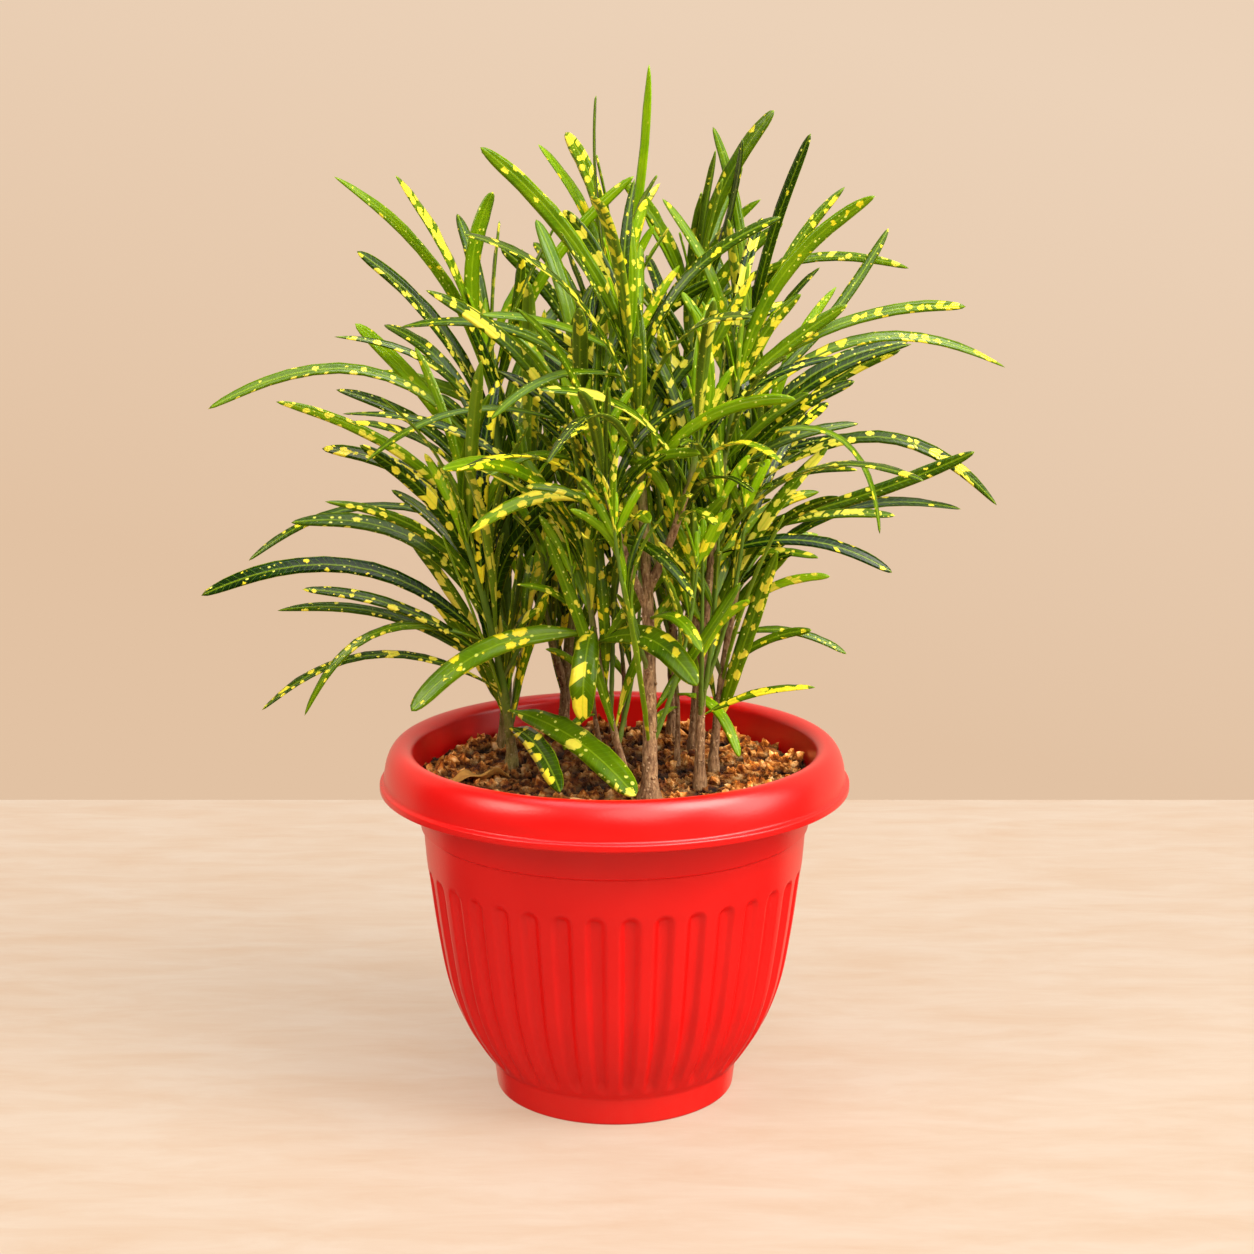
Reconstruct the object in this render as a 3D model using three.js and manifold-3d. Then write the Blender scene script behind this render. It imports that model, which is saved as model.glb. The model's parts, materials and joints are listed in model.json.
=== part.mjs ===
// A potted croton: a red fluted plastic pot, its soil, nine woody stems with narrow leaves,
// a few young shoots and one dead leaf on the soil.
// Millimetres, +Z up. The origin is the middle of the pot's underside, -Y is the front.
import * as THREE from 'three';
import { mergeVertices } from 'three/addons/utils/BufferGeometryUtils.js';
import Module from 'manifold-3d';

const wasm = await Module();
wasm.setup();

// ---------------------------------------------------------------- driving dimensions

const GAP = 0.4;                  // room between two pieces that touch

// Pot
const FLUTES = 36;
const FLUTE_DEPTH = 1.7;
const FLUTE_TURN = THREE.MathUtils.degToRad(4.8);   // the front recess stands a little to the right
const WALL = 2.0;
const BASE_THICKNESS = 3;
const FOOT = { radius: 53.7, topRadius: 55, height: 12.5 };
const COLLAR = { height: 122, step: 1.2 };
const LIP = { radius: 104, height: 139.2, thickness: 3.3 };
const RIM = { radius: 102, crestRadius: 94.7, crest: 158.5, innerRadius: 89, innerDrop: 4 };
const DRAIN = { holes: 6, radius: 4, ring: 32, sides: 8 };
// Radius and height of the fluted bowl, from the foot up to the collar
const BOWL = [[57, 14.5], [62.5, 22.5], [69.5, 35], [75.7, 53], [79.8, 76], [82.8, 99]];
const FLUTE_TOP = { radius: 83.8, height: 106 };
const COLLAR_FOOT_RADIUS = 85;
const NECK_RADIUS = 88;

// Soil
const SOIL_TOP = 145;
const SOIL_LUMP = 1.5;
const SOIL_EDGE_DROP = 2.5;       // the soil sinks a little against the pot
const SOIL_BED = 90;              // depth that the stems stand down to
const SOIL_SPOKES = 32;
const SOIL_RINGS = [18, 36, 53, 68, 80];

// Stems and leaves
const STEM_SIDES = 5;
const STEM_STEPS = 5;
const STRAIGHT_TOP = 152;         // stems rise straight out of their holes up to here
const MIDRIB_THICKNESS = 1.2;
const FOLD = 0.26;                // depth of a leaf's channel, as a share of its half width
const FACE_ROLL = 50;             // how far a blade turns its face outwards, in degrees
const UPRIGHT_ROLL = 32;          // and how much more when it stands upright
const ROLL_SPREAD = 16;
const LOWEST_LIFT = 8;            // how far the lowest leaf of a stem rises, in degrees
const TOP_LIFT = 62;              // and the newest one, at its top
// Share of the length, share of the half width
const BLADE = [[0, 0.16], [0.26, 0.92], [0.58, 1], [0.86, 0.84]];
const FILL_WIDTH = { least: 4.8, spread: 2.4 };
const GOLDEN = 137.508;

// Growing clear of the neighbours
const TURNS = [0, -5, 5, -10, 10, -16, 16];
const LIFTS = [0, 4, -4, 9, -9];
const CLEAR_THICKNESS = 2.2;      // a blade is this thick, and this much wider, when it is tested
const CLEAR_MARGIN = 0.5;
const CLEAR_ROOT = 0.2;           // share of a blade that may meet blades of its own stem
const RIM_CLEAR = { radius: 80, height: 162 };
const SOIL_CLEAR = 149.5;

const COLOURS = {
  pot: '#d81f26', soil: '#7a5238', leaf: '#3c7a1e', young: '#6fae2a', dry: '#9a7434',
};

// ---------------------------------------------------------------- the plant's layout
//
// Each stem: foot on the soil (or x, y, z on its parent), top, bow of its middle, radii, then
// the leaves that stand out of the crown:
//   [height on the stem, tip x, tip y, tip z, arch as a share of the length, width]
// and the leaves that fill it: how many, from which height, in which direction they lean (degrees
// from +X), how steeply the lowest ones rise (degrees) and their size beside those of a main stem.

const STEMS = [
  {
    name: 'stem_left', foot: [-51, 38], top: [-57, 28, 330], bow: [5, 0], radii: [2.5, 1.3],
    leaves: [
      [300, -118, 0, 404, 0.12, 5.5], [292, -50, 28, 385, 0.05, 6], [306, -40, 24, 373, -0.04, 6.5],
      [290, -99, 12, 363, 0.06, 4], [250, -113, 20, 341, 0.06, 7], [270, -121, 10, 336, 0.2, 4],
      [226, -147, 10, 308, 0.12, 5], [234, -121, 12, 313, 0.16, 6], [268, -176, 0, 307, 0.25, 5],
      [238, -163, 20, 236, 0.2, 4], [300, 6, 10, 404, 0.1, 5], [312, -22, 16, 384, 0.04, 5],
    ],
    fill: { count: 13, from: 200, lean: 160, steep: 34 },
  },
  {
    name: 'stem_left_front', foot: [-46, 6], top: [-64, -8, 250], bow: [3, -2], radii: [2.2, 1.2],
    leaves: [
      [198, -177, -20, 228, 0.2, 7], [208, -139, -10, 258, 0.2, 7.5], [190, -134, -16, 230, 0.1, 5],
      [186, -148, 2, 217, 0.13, 5], [202, -136, -8, 172, 0.27, 4.5], [180, -157, 6, 171, 0.2, 4.5],
      [172, 9, -76, 155, 0.08, 12], [163, -22, -70, 155, 0.1, 9],
    ],
    fill: { count: 12, from: 178, lean: 205, steep: 50 },
  },
  {
    name: 'stem_back_left', foot: [-24, 46], top: [2, 34, 350], bow: [-4, 4], radii: [2.5, 1.3],
    leaves: [
      [343, -10, 20, 437, -0.05, 5], [337, 15, 28, 451, -0.03, 5.5], [347, -14, 24, 412, 0.05, 5],
      [340, -53, 8, 414, 0.1, 4], [332, 23, -4, 383, 0.05, 6],
    ],
    fill: { count: 14, from: 220, lean: 115, steep: 30 },
  },
  {
    name: 'stem_back_left', foot: [-23, 46, 172], top: [-38, 30, 262], bow: [-3, 0], radii: [2, 1.1],
    leaves: [[240, -62, 24, 352, 0.05, 6], [250, -30, 8, 348, 0.04, 6]],
    fill: { count: 9, from: 186, lean: 270, steep: 58 },
  },
  {
    name: 'stem_middle', foot: [15, -53], top: [6, -38, 338], bow: [3, 6], radii: [3.3, 1.3],
    leaves: [
      [330, -53, -56, 350, 0.08, 5], [322, -49, -66, 309, 0.16, 5], [305, -24, -76, 299, 0.1, 5],
      [262, -59, -62, 262, 0.19, 6], [222, 36, -74, 215, 0.2, 6],
    ],
    fill: { count: 11, from: 284, lean: 250 },
  },
  {
    name: 'stem_middle', foot: [14, -40.5, 234], top: [36, -44, 304], bow: [3, -2], radii: [2.1, 1.1],
    leaves: [[262, 41, -78, 268, 0.18, 5]],
    fill: { count: 7, from: 264, lean: 300, size: 0.8 },
  },
  {
    name: 'stem_middle', foot: [14, -41, 226], top: [-8, -46, 298], bow: [-2, -2], radii: [1.8, 1],
    leaves: [],
    fill: { count: 6, from: 258, lean: 225, size: 0.75 },
  },
  {
    name: 'stem_slim', foot: [5, -32], top: [-14, -12, 302], bow: [-6, -2], radii: [1.7, 1],
    leaves: [
      [298, -104, -30, 287, 0.17, 4], [284, -51, -42, 283, 0.14, 4], [250, 41, -62, 236, 0.18, 5],
      [216, -13, -50, 180, 0.22, 11], [208, 34, -78, 202, 0.18, 11],
      [212, -86, -40, 182, 0.15, 10],
    ],
    fill: { count: 11, from: 226, lean: 190, steep: 24 },
  },
  {
    name: 'stem_back', foot: [27, 62], top: [36, 54, 352], bow: [-3, 4], radii: [2.4, 1.3],
    leaves: [
      [340, 56, 40, 420, -0.05, 6], [344, 44, 32, 415, 0.05, 5], [348, 47, 30, 403, 0.03, 5],
      [338, 127, 14, 365, 0.15, 4.5],
    ],
    fill: { count: 16, from: 206, lean: 80, steep: 22 },
  },
  {
    name: 'stem_right', foot: [37, -26], top: [52, -30, 322], bow: [-4, 2], radii: [2.2, 1.2],
    leaves: [
      [318, 97, -25, 352, 0.03, 6], [319, 149, -6, 350, 0.1, 5], [302, 167, -4, 324, 0.2, 5],
      [308, 118, 16, 382, -0.06, 4.5], [272, 99, -42, 322, 0.1, 6], [286, 82, -34, 317, 0.06, 5],
      [280, 104, -12, 301, 0.08, 4.5], [292, 113, -22, 255, 0.36, 4], [318, 55, -36, 370, 0.02, 6],
      [314, 77, -34, 357, 0.08, 5], [246, 117, -36, 241, 0.14, 6], [176, 86, -30, 190, 0.08, 4],
    ],
    fill: { count: 9, from: 240, lean: 320 },
  },
  {
    name: 'stem_right', foot: [38, -25.5, 206], top: [24, -16, 296], bow: [-3, 2], radii: [1.6, 1],
    leaves: [],
    fill: { count: 6, from: 254, lean: 280, size: 0.7, steep: 24 },
  },
  {
    name: 'stem_far_right', foot: [44, 0], top: [66, 4, 285], bow: [-3, 0], radii: [2, 1.2],
    leaves: [
      [255, 155, -4, 288, -0.03, 6], [274, 166, 0, 264, 0.24, 6], [250, 120, -16, 262, 0.07, 5],
      [242, 88, -12, 243, 0.06, 4.5], [214, 94, -2, 233, 0.12, 4], [190, 86, -6, 210, 0.1, 4],
      [206, 102, 0, 198, 0.12, 4], [226, 77, -14, 245, 0.1, 4.5],
    ],
    fill: { count: 10, from: 224, lean: 10, size: 0.85, steep: 22 },
  },
  {
    name: 'stem_back_right', foot: [36, 32], top: [60, 42, 318], bow: [-4, 3], radii: [2.2, 1.2],
    leaves: [[306, 86, 30, 422, 0.05, 6.5], [300, 46, 60, 427, 0.14, 5], [310, 49, 14, 386, 0.04, 6]],
    fill: { count: 14, from: 210, lean: 50, steep: 20 },
  },
  {
    name: 'stem_back_right', foot: [39, 36.5, 196], top: [28, 22, 290], bow: [-2, 3], radii: [1.6, 1],
    leaves: [],
    fill: { count: 6, from: 230, lean: 200, size: 0.8, steep: 40 },
  },
  {
    name: 'shoot_right', foot: [28, 8], top: [26, 6, 196], bow: [1, 0], radii: [1.2, 0.8],
    leaves: [[178, 54, -26, 158, 0.22, 5], [172, 14, -14, 160, 0.2, 4], [190, 34, -6, 226, 0.05, 4]],
    fill: { count: 3, from: 180, lean: 90, size: 0.42 },
  },
  {
    name: 'shoot_middle', foot: [-6, 10], top: [-10, 8, 186], bow: [-1, 0], radii: [1.2, 0.8],
    leaves: [[168, -22, -14, 158, 0.2, 4], [180, -2, 2, 214, 0.05, 4]],
    fill: { count: 3, from: 170, lean: 90, size: 0.38 },
  },
  {
    name: 'shoot_back', foot: [4, 68], top: [2, 74, 190], bow: [1, 1], radii: [1.2, 0.8],
    leaves: [[170, -14, 92, 180, 0.2, 4.5], [184, 10, 88, 220, 0.08, 4.5]],
    fill: { count: 3, from: 176, lean: 90, size: 0.42 },
  },
];

const UP = new THREE.Vector3(0, 0, 1);

// ---------------------------------------------------------------- closed meshes and booleans

// A closed body from rings of points; the first and last ring are capped by a fan to their middle.
// A ring of one point is a tip.
function loft(rings) {
  const points = rings.flat();
  const starts = [];
  rings.reduce((start, ring) => { starts.push(start); return start + ring.length; }, 0);
  const faces = [];
  for (let r = 0; r + 1 < rings.length; r += 1) {
    const [lower, upper] = [rings[r], rings[r + 1]];
    const sides = Math.max(lower.length, upper.length);
    for (let j = 0; j < sides; j += 1) {
      const k = (j + 1) % sides;
      const a = starts[r] + (lower.length > 1 ? j : 0);
      const b = starts[r] + (lower.length > 1 ? k : 0);
      const c = starts[r + 1] + (upper.length > 1 ? j : 0);
      const d = starts[r + 1] + (upper.length > 1 ? k : 0);
      if (lower.length > 1) faces.push(a, b, c);
      if (upper.length > 1) faces.push(b, d, c);
    }
  }
  const last = rings.length - 1;
  if (rings[0].length > 1) fan(faces, starts[0], rings[0].length, false);
  if (rings[last].length > 1) fan(faces, starts[last], rings[last].length, true);
  return closedGeometry(points, faces);
}

// The cap of an end ring: triangles from its first point
function fan(faces, start, length, top) {
  for (let j = 1; j + 1 < length; j += 1) {
    if (top) faces.push(start, start + j, start + j + 1);
    else faces.push(start, start + j + 1, start + j);
  }
}

function closedGeometry(points, faces) {
  const geometry = new THREE.BufferGeometry();
  const numbers = points.flatMap((point) => [point.x, point.y, point.z]);
  geometry.setAttribute('position', new THREE.Float32BufferAttribute(numbers, 3));
  geometry.setIndex(faces);
  return geometry;
}

function solidOf(geometry) {
  const bare = geometry.clone();
  bare.deleteAttribute('normal');
  bare.deleteAttribute('uv');
  const merged = mergeVertices(bare, 1e-4);
  return new wasm.Manifold(new wasm.Mesh({
    numProp: 3,
    vertProperties: Float32Array.from(merged.attributes.position.array),
    triVerts: Uint32Array.from(merged.index.array),
  }));
}

function geometryOf(solid) {
  const { vertProperties, triVerts } = solid.getMesh();
  const geometry = new THREE.BufferGeometry();
  geometry.setAttribute('position', new THREE.BufferAttribute(vertProperties, 3));
  geometry.setIndex(new THREE.BufferAttribute(triVerts, 1));
  return geometry;
}

function namedMesh(name, geometry, colour, roughness) {
  const mesh = new THREE.Mesh(geometry, new THREE.MeshStandardMaterial({
    color: colour, roughness, metalness: 0,
  }));
  mesh.name = name;
  return mesh;
}

// ---------------------------------------------------------------- pot

// One ring of the turned pot; even spokes run down the recesses, odd ones down the ribs
function potRing(radius, height, recess = 0) {
  const ring = [];
  for (let j = 0; j < FLUTES * 2; j += 1) {
    const turn = -Math.PI / 2 + FLUTE_TURN + (j * Math.PI) / FLUTES;
    const reach = radius - (j % 2 === 0 ? recess : 0);
    ring.push(new THREE.Vector3(reach * Math.cos(turn), reach * Math.sin(turn), height));
  }
  return ring;
}

function potOutside() {
  const bowl = BOWL.map(([radius, height], i) => potRing(radius, height, i === 0 ? 0 : FLUTE_DEPTH));
  return [
    potRing(FOOT.radius, 0),
    potRing(FOOT.topRadius, FOOT.height),
    ...bowl,
    potRing(FLUTE_TOP.radius, FLUTE_TOP.height),
    potRing(COLLAR_FOOT_RADIUS, COLLAR.height - 0.6),
    potRing(COLLAR_FOOT_RADIUS + COLLAR.step, COLLAR.height + 0.6),
    potRing(NECK_RADIUS, LIP.height),
    potRing(LIP.radius, LIP.height + 0.3),
    potRing(LIP.radius, LIP.height + LIP.thickness),
    potRing(RIM.radius, LIP.height + LIP.thickness + 1),
    potRing(RIM.radius - 1.6, RIM.crest - 6.5),
    potRing(RIM.crestRadius, RIM.crest),
    potRing(RIM.innerRadius, RIM.crest - RIM.innerDrop),
  ];
}

// The inner wall, from its mouth down, keeps its thickness behind the recesses
const INNER_WALL = [
  [COLLAR_FOOT_RADIUS + COLLAR.step - WALL, COLLAR.height],
  [BOWL[5][0] - FLUTE_DEPTH - WALL, BOWL[5][1]],
  [BOWL[3][0] - FLUTE_DEPTH - WALL, BOWL[3][1]],
  [FOOT.radius - FLUTE_DEPTH - 2 * WALL, BASE_THICKNESS],
];

function potInside() {
  return INNER_WALL.map(([radius, height]) => potRing(radius, height));
}

function makePot() {
  let pot = solidOf(loft([...potOutside(), ...potInside()]));
  for (let i = 0; i < DRAIN.holes; i += 1) {
    const hole = new THREE.CylinderGeometry(DRAIN.radius, DRAIN.radius, BASE_THICKNESS * 4, DRAIN.sides);
    hole.rotateX(Math.PI / 2);
    const turn = (i * 2 * Math.PI) / DRAIN.holes;
    hole.translate(DRAIN.ring * Math.cos(turn), DRAIN.ring * Math.sin(turn), 0);
    pot = pot.subtract(solidOf(hole));
  }
  return namedMesh('pot', geometryOf(pot), COLOURS.pot, 0.35);
}

// ---------------------------------------------------------------- stems

// The middle line of a stem: straight out of the soil, then a bowed run to its top
function stemLine(stem) {
  const [x, y, z = STRAIGHT_TOP] = stem.foot;
  const start = new THREE.Vector3(x, y, z);
  const end = new THREE.Vector3(...stem.top);
  const middle = start.clone().lerp(end, 0.5).add(new THREE.Vector3(2 * stem.bow[0], 2 * stem.bow[1], 0));
  const run = new THREE.QuadraticBezierCurve3(start, middle, end);
  const line = [];
  for (let i = 0; i <= STEM_STEPS; i += 1) line.push(run.getPoint(i / STEM_STEPS));
  return line;
}

function radiusAt(stem, share) {
  return stem.radii[0] + (stem.radii[1] - stem.radii[0]) * share;
}

function stemRing(centre, radius) {
  const ring = [];
  for (let j = 0; j < STEM_SIDES; j += 1) {
    const turn = (j * 2 * Math.PI) / STEM_SIDES;
    ring.push(new THREE.Vector3(
      centre.x + radius * Math.cos(turn), centre.y + radius * Math.sin(turn), centre.z));
  }
  return ring;
}

// A planted stem goes down into its hole; a branch starts inside its parent
function stemGeometry(stem, extra = 0) {
  const line = stemLine(stem);
  const rings = line.map((point, i) => stemRing(point, radiusAt(stem, i / STEM_STEPS) + extra));
  const planted = stem.foot.length === 2;
  if (planted) {
    rings.unshift(stemRing(new THREE.Vector3(line[0].x, line[0].y, SOIL_BED), stem.radii[0] + extra));
  }
  rings.push([line[STEM_STEPS].clone().add(new THREE.Vector3(0, 0, stem.radii[1] + extra))]);
  return loft(rings);
}

// The point of the middle line at a height
function pointAtHeight(line, height) {
  for (let i = 1; i < line.length; i += 1) {
    if (height <= line[i].z || i === line.length - 1) {
      const share = (height - line[i - 1].z) / (line[i].z - line[i - 1].z);
      return line[i - 1].clone().lerp(line[i], Math.min(1, Math.max(0, share)));
    }
  }
  return line[0].clone();
}

// ---------------------------------------------------------------- leaves

// Seeded random numbers from 0 to 1
function randomFrom(seed) {
  let state = seed;
  return () => {
    state = (state + 0x6D2B79F5) >>> 0;
    let mix = state;
    mix = Math.imul(mix ^ (mix >>> 15), mix | 1);
    mix ^= mix + Math.imul(mix ^ (mix >>> 7), mix | 61);
    return ((mix ^ (mix >>> 14)) >>> 0) / 4294967296;
  };
}

// The leaves of the list, and those that fill a stem in a spiral, as root, direction and size
function shownLeaves(stem, line, random) {
  return stem.leaves.map(([height, x, y, z, arch, width]) => {
    const root = pointAtHeight(line, height);
    const chord = new THREE.Vector3(x, y, z).sub(root);
    const flat = Math.hypot(chord.x, chord.y);
    return {
      root,
      turn: THREE.MathUtils.radToDeg(Math.atan2(chord.y, chord.x)),
      lift: THREE.MathUtils.radToDeg(Math.atan2(chord.z, flat)),
      length: chord.length(),
      arch,
      width,
      roll: (random() * 2 - 1) * ROLL_SPREAD,
    };
  });
}

function fillLeaves(stem, line, random) {
  const { count, from, lean, steep = LOWEST_LIFT, size = 1 } = stem.fill;
  const top = stem.top[2];
  const leaves = [];
  for (let i = 0; i < count; i += 1) {
    const share = (i + 0.5) / count;
    const height = from + (top - from) * share;
    const spiral = lean + i * GOLDEN + (random() * 2 - 1) * 15;
    const inward = (1 - Math.cos(THREE.MathUtils.degToRad(spiral - lean))) / 2;
    leaves.push({
      root: pointAtHeight(line, height),
      turn: spiral,
      lift: steep + (TOP_LIFT - steep) * share ** 1.3 + 22 * inward + (random() * 2 - 1) * 12,
      length: size * ((124 - 32 * share) * (1 - 0.25 * inward) + (random() * 2 - 1) * 14),
      arch: 0.16 - 0.1 * share + random() * 0.06,
      width: Math.sqrt(size) * (FILL_WIDTH.least + random() * FILL_WIDTH.spread),
      roll: (random() * 2 - 1) * ROLL_SPREAD * 2,
    });
  }
  return leaves;
}

// The rings of a blade: a channelled section carried along an arched line
function bladeRings(leaf, thickness, margin, from = 0) {
  const turn = THREE.MathUtils.degToRad(leaf.turn);
  const lift = THREE.MathUtils.degToRad(leaf.lift);
  const out = new THREE.Vector3(Math.cos(turn), Math.sin(turn), 0);
  const side = new THREE.Vector3(-Math.sin(turn), Math.cos(turn), 0);
  const along = out.clone().multiplyScalar(Math.cos(lift)).addScaledVector(UP, Math.sin(lift));
  const over = out.clone().multiplyScalar(-Math.sin(lift)).addScaledVector(UP, Math.cos(lift));
  const facing = FACE_ROLL + UPRIGHT_ROLL * Math.max(0, Math.sin(lift));
  const roll = THREE.MathUtils.degToRad(leaf.roll + facing * Math.cos(turn));
  const at = (t, lower) => leaf.root.clone()
    .addScaledVector(along, leaf.length * t)
    .addScaledVector(over, leaf.length * leaf.arch * 4 * t * (1 - t) - lower);
  const rings = BLADE.filter(([t]) => t >= from).map(([t, share]) => {
    const slope = leaf.arch * 4 * (1 - 2 * t);
    const ahead = along.clone().addScaledVector(over, slope).normalize();
    const above = ahead.clone().cross(side);
    const across = side.clone().multiplyScalar(Math.cos(roll)).addScaledVector(above, Math.sin(roll));
    const normal = above.multiplyScalar(Math.cos(roll)).addScaledVector(side, -Math.sin(roll));
    const half = (leaf.width / 2) * share + margin;
    const centre = at(t, 0);
    const edge = (sign) => centre.clone().addScaledVector(across, sign * half);
    const middle = (height) => centre.clone().addScaledVector(normal, height - half * FOLD);
    return [edge(1), middle(thickness / 2), edge(-1), middle(-thickness / 2)];
  });
  rings.push([at(1 + margin / leaf.length, 0)]);
  return rings;
}

// ---------------------------------------------------------------- growing clear

function trianglesOf(geometry) {
  const { array } = geometry.attributes.position;
  const index = geometry.index.array;
  const corners = Array.from(index, (i) => new THREE.Vector3(array[3 * i], array[3 * i + 1], array[3 * i + 2]));
  const triangles = [];
  for (let i = 0; i < corners.length; i += 3) {
    triangles.push(new THREE.Triangle(corners[i], corners[i + 1], corners[i + 2]));
  }
  return { triangles, box: new THREE.Box3().setFromPoints(corners) };
}

// True where an edge of one triangle goes through the other
function pierces(first, second) {
  const ray = new THREE.Ray();
  const hit = new THREE.Vector3();
  const corners = [first.a, first.b, first.c];
  return corners.some((start, i) => {
    const end = corners[(i + 1) % 3];
    ray.origin.copy(start);
    ray.direction.copy(end).sub(start);
    const length = ray.direction.length();
    ray.direction.divideScalar(length);
    const found = ray.intersectTriangle(second.a, second.b, second.c, false, hit);
    return found !== null && hit.distanceTo(start) <= length;
  });
}

function crosses(first, second) {
  if (!first.box.intersectsBox(second.box)) return false;
  const near = second.triangles.filter((triangle) => first.box.intersectsTriangle(triangle));
  return first.triangles.some((a) => near.some((b) => pierces(a, b) || pierces(b, a)));
}

function overPot(rings) {
  return rings.flat().every((point) => {
    const reach = Math.hypot(point.x, point.y);
    return point.z > SOIL_CLEAR && (reach < RIM_CLEAR.radius || point.z > RIM_CLEAR.height);
  });
}

// The ways in which a leaf may bend, from none to far
function bends(leaf) {
  return LIFTS.flatMap((rise) => TURNS.map((side) => (
    { ...leaf, turn: leaf.turn + side, lift: leaf.lift + rise })));
}

// Takes the first bend in which the leaf crosses no stem or leaf that is already there
function growClear(leaf, name, taken) {
  for (const candidate of bends(leaf)) {
    const fat = bladeRings(candidate, CLEAR_THICKNESS, CLEAR_MARGIN);
    if (overPot(fat)) {
      const whole = trianglesOf(loft(fat));
      const outer = trianglesOf(loft(bladeRings(candidate, CLEAR_THICKNESS, CLEAR_MARGIN, CLEAR_ROOT)));
      const clear = taken.every((other) => (
        other.name === name ? !crosses(outer, other.outer) : !crosses(whole, other.whole)));
      if (clear) {
        taken.push({ name, whole, outer });
        return candidate;
      }
    }
  }
  return null;
}

function growPlant() {
  const lines = STEMS.map(stemLine);
  const taken = STEMS.map((stem) => {
    const whole = trianglesOf(stemGeometry(stem, CLEAR_MARGIN));
    return { name: stem.name, whole, outer: { triangles: [], box: new THREE.Box3() } };
  });
  const leaves = STEMS.map(() => []);
  const grow = (list, i) => list.forEach((leaf) => {
    const grown = growClear(leaf, STEMS[i].name, taken);
    if (grown) leaves[i].push(grown);
  });
  STEMS.forEach((stem, i) => grow(shownLeaves(stem, lines[i], randomFrom(100 + i)), i));
  STEMS.forEach((stem, i) => grow(fillLeaves(stem, lines[i], randomFrom(200 + i)), i));
  return leaves;
}

function makeStems() {
  const leaves = growPlant();
  const bodies = new Map();
  STEMS.forEach((stem, i) => {
    const pieces = [stemGeometry(stem), ...leaves[i].map((leaf) => loft(bladeRings(leaf, MIDRIB_THICKNESS, 0)))];
    bodies.set(stem.name, [...(bodies.get(stem.name) ?? []), ...pieces.map(solidOf)]);
  });
  return [...bodies].map(([name, solids]) => {
    const colour = name.startsWith('shoot') ? COLOURS.young : COLOURS.leaf;
    return namedMesh(name, geometryOf(wasm.Manifold.union(solids)), colour, 0.4);
  });
}

// ---------------------------------------------------------------- soil and dead leaf

const DRY_LEAF = { x: -58, y: -20, turn: 20, length: 26, width: 10, curl: 5, thickness: 1 };

function soilHeight(x, y) {
  const wave = Math.sin(x * 0.31 + 1.3) * Math.cos(y * 0.27) + 0.6 * Math.sin(x * 0.13 - y * 0.19);
  const away = Math.hypot(x - DRY_LEAF.x, y - DRY_LEAF.y);
  return SOIL_TOP + SOIL_LUMP * wave * Math.min(1, Math.max(0, (away - 26) / 12));
}

function soilRing(radius, height) {
  const ring = [];
  for (let j = 0; j < SOIL_SPOKES; j += 1) {
    const turn = -Math.PI / 2 + FLUTE_TURN + (j * 2 * Math.PI) / SOIL_SPOKES;
    const [x, y] = [radius * Math.cos(turn), radius * Math.sin(turn)];
    ring.push(new THREE.Vector3(x, y, height ?? soilHeight(x, y)));
  }
  return ring;
}

function makeSoil() {
  const against = INNER_WALL.map(([radius, height]) => soilRing(radius - GAP, height));
  const [floorRadius] = INNER_WALL[INNER_WALL.length - 1];
  const rings = [
    soilRing(floorRadius - 2 * GAP, BASE_THICKNESS + GAP),
    ...against.slice(0, -1).toReversed(),
    soilRing(INNER_WALL[0][0] + GAP, SOIL_TOP - SOIL_EDGE_DROP),
    ...SOIL_RINGS.toReversed().map((radius) => soilRing(radius)),
    [new THREE.Vector3(0, 0, soilHeight(0, 0))],
  ];
  let soil = solidOf(loft(rings));
  STEMS.filter((stem) => stem.foot.length === 2).forEach((stem) => {
    const [x, y] = stem.foot;
    const radius = stem.radii[0] + GAP + 0.1;
    const hole = loft([SOIL_BED - GAP, STRAIGHT_TOP].map((z) => stemRing(new THREE.Vector3(x, y, z), radius)));
    soil = soil.subtract(solidOf(hole));
  });
  return namedMesh('soil', geometryOf(soil), COLOURS.soil, 0.95);
}

// A dead leaf curled along its length, on three low points: both ends of one edge and its middle
function makeDryLeaf() {
  const { x, y, turn, length, width, curl, thickness } = DRY_LEAF;
  const steps = 6;
  const rings = [];
  for (let i = 0; i <= steps; i += 1) {
    const share = i / steps;
    const half = (width / 2) * Math.sin(Math.PI * (0.12 + 0.76 * share));
    const height = curl * Math.sin(Math.PI * share * 2) ** 2 + thickness;
    const along = (share - 0.5) * length;
    rings.push([
      new THREE.Vector3(along, half, height + half * 0.5), new THREE.Vector3(along, 0, height),
      new THREE.Vector3(along, -half, height + half * 0.7), new THREE.Vector3(along, 0, height - thickness),
    ]);
  }
  const mesh = namedMesh('dry_leaf', loft(rings), COLOURS.dry, 0.8);
  mesh.position.set(x, y, SOIL_TOP + GAP);
  mesh.rotation.z = THREE.MathUtils.degToRad(turn);
  return mesh;
}

// ---------------------------------------------------------------- the whole plant

const group = new THREE.Group();
group.add(makePot(), makeSoil(), makeDryLeaf(), ...makeStems());

export default group;
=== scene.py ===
# %% [markdown]
# # A potted croton
#
# A narrow-leaf croton is a shrub of many thin woody stems. Each stem carries a spiral of long,
# leathery leaves, splashed with yellow as if gold dust had been thrown over them. The plant stands
# in a red plastic nursery pot with a rolled rim and a fluted bowl.
#
# The frame is the measured model: a pot, its soil, and one solid for each leafy stem. This script
# dresses it. It grows the same leaves from the same layout, but with finer blades, bark, crumbly
# soil and a smooth moulded pot. Everything is in metres, with +Z up and the front towards -Y.

# %% Load the frame
import json
import math
from functools import partial

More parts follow.
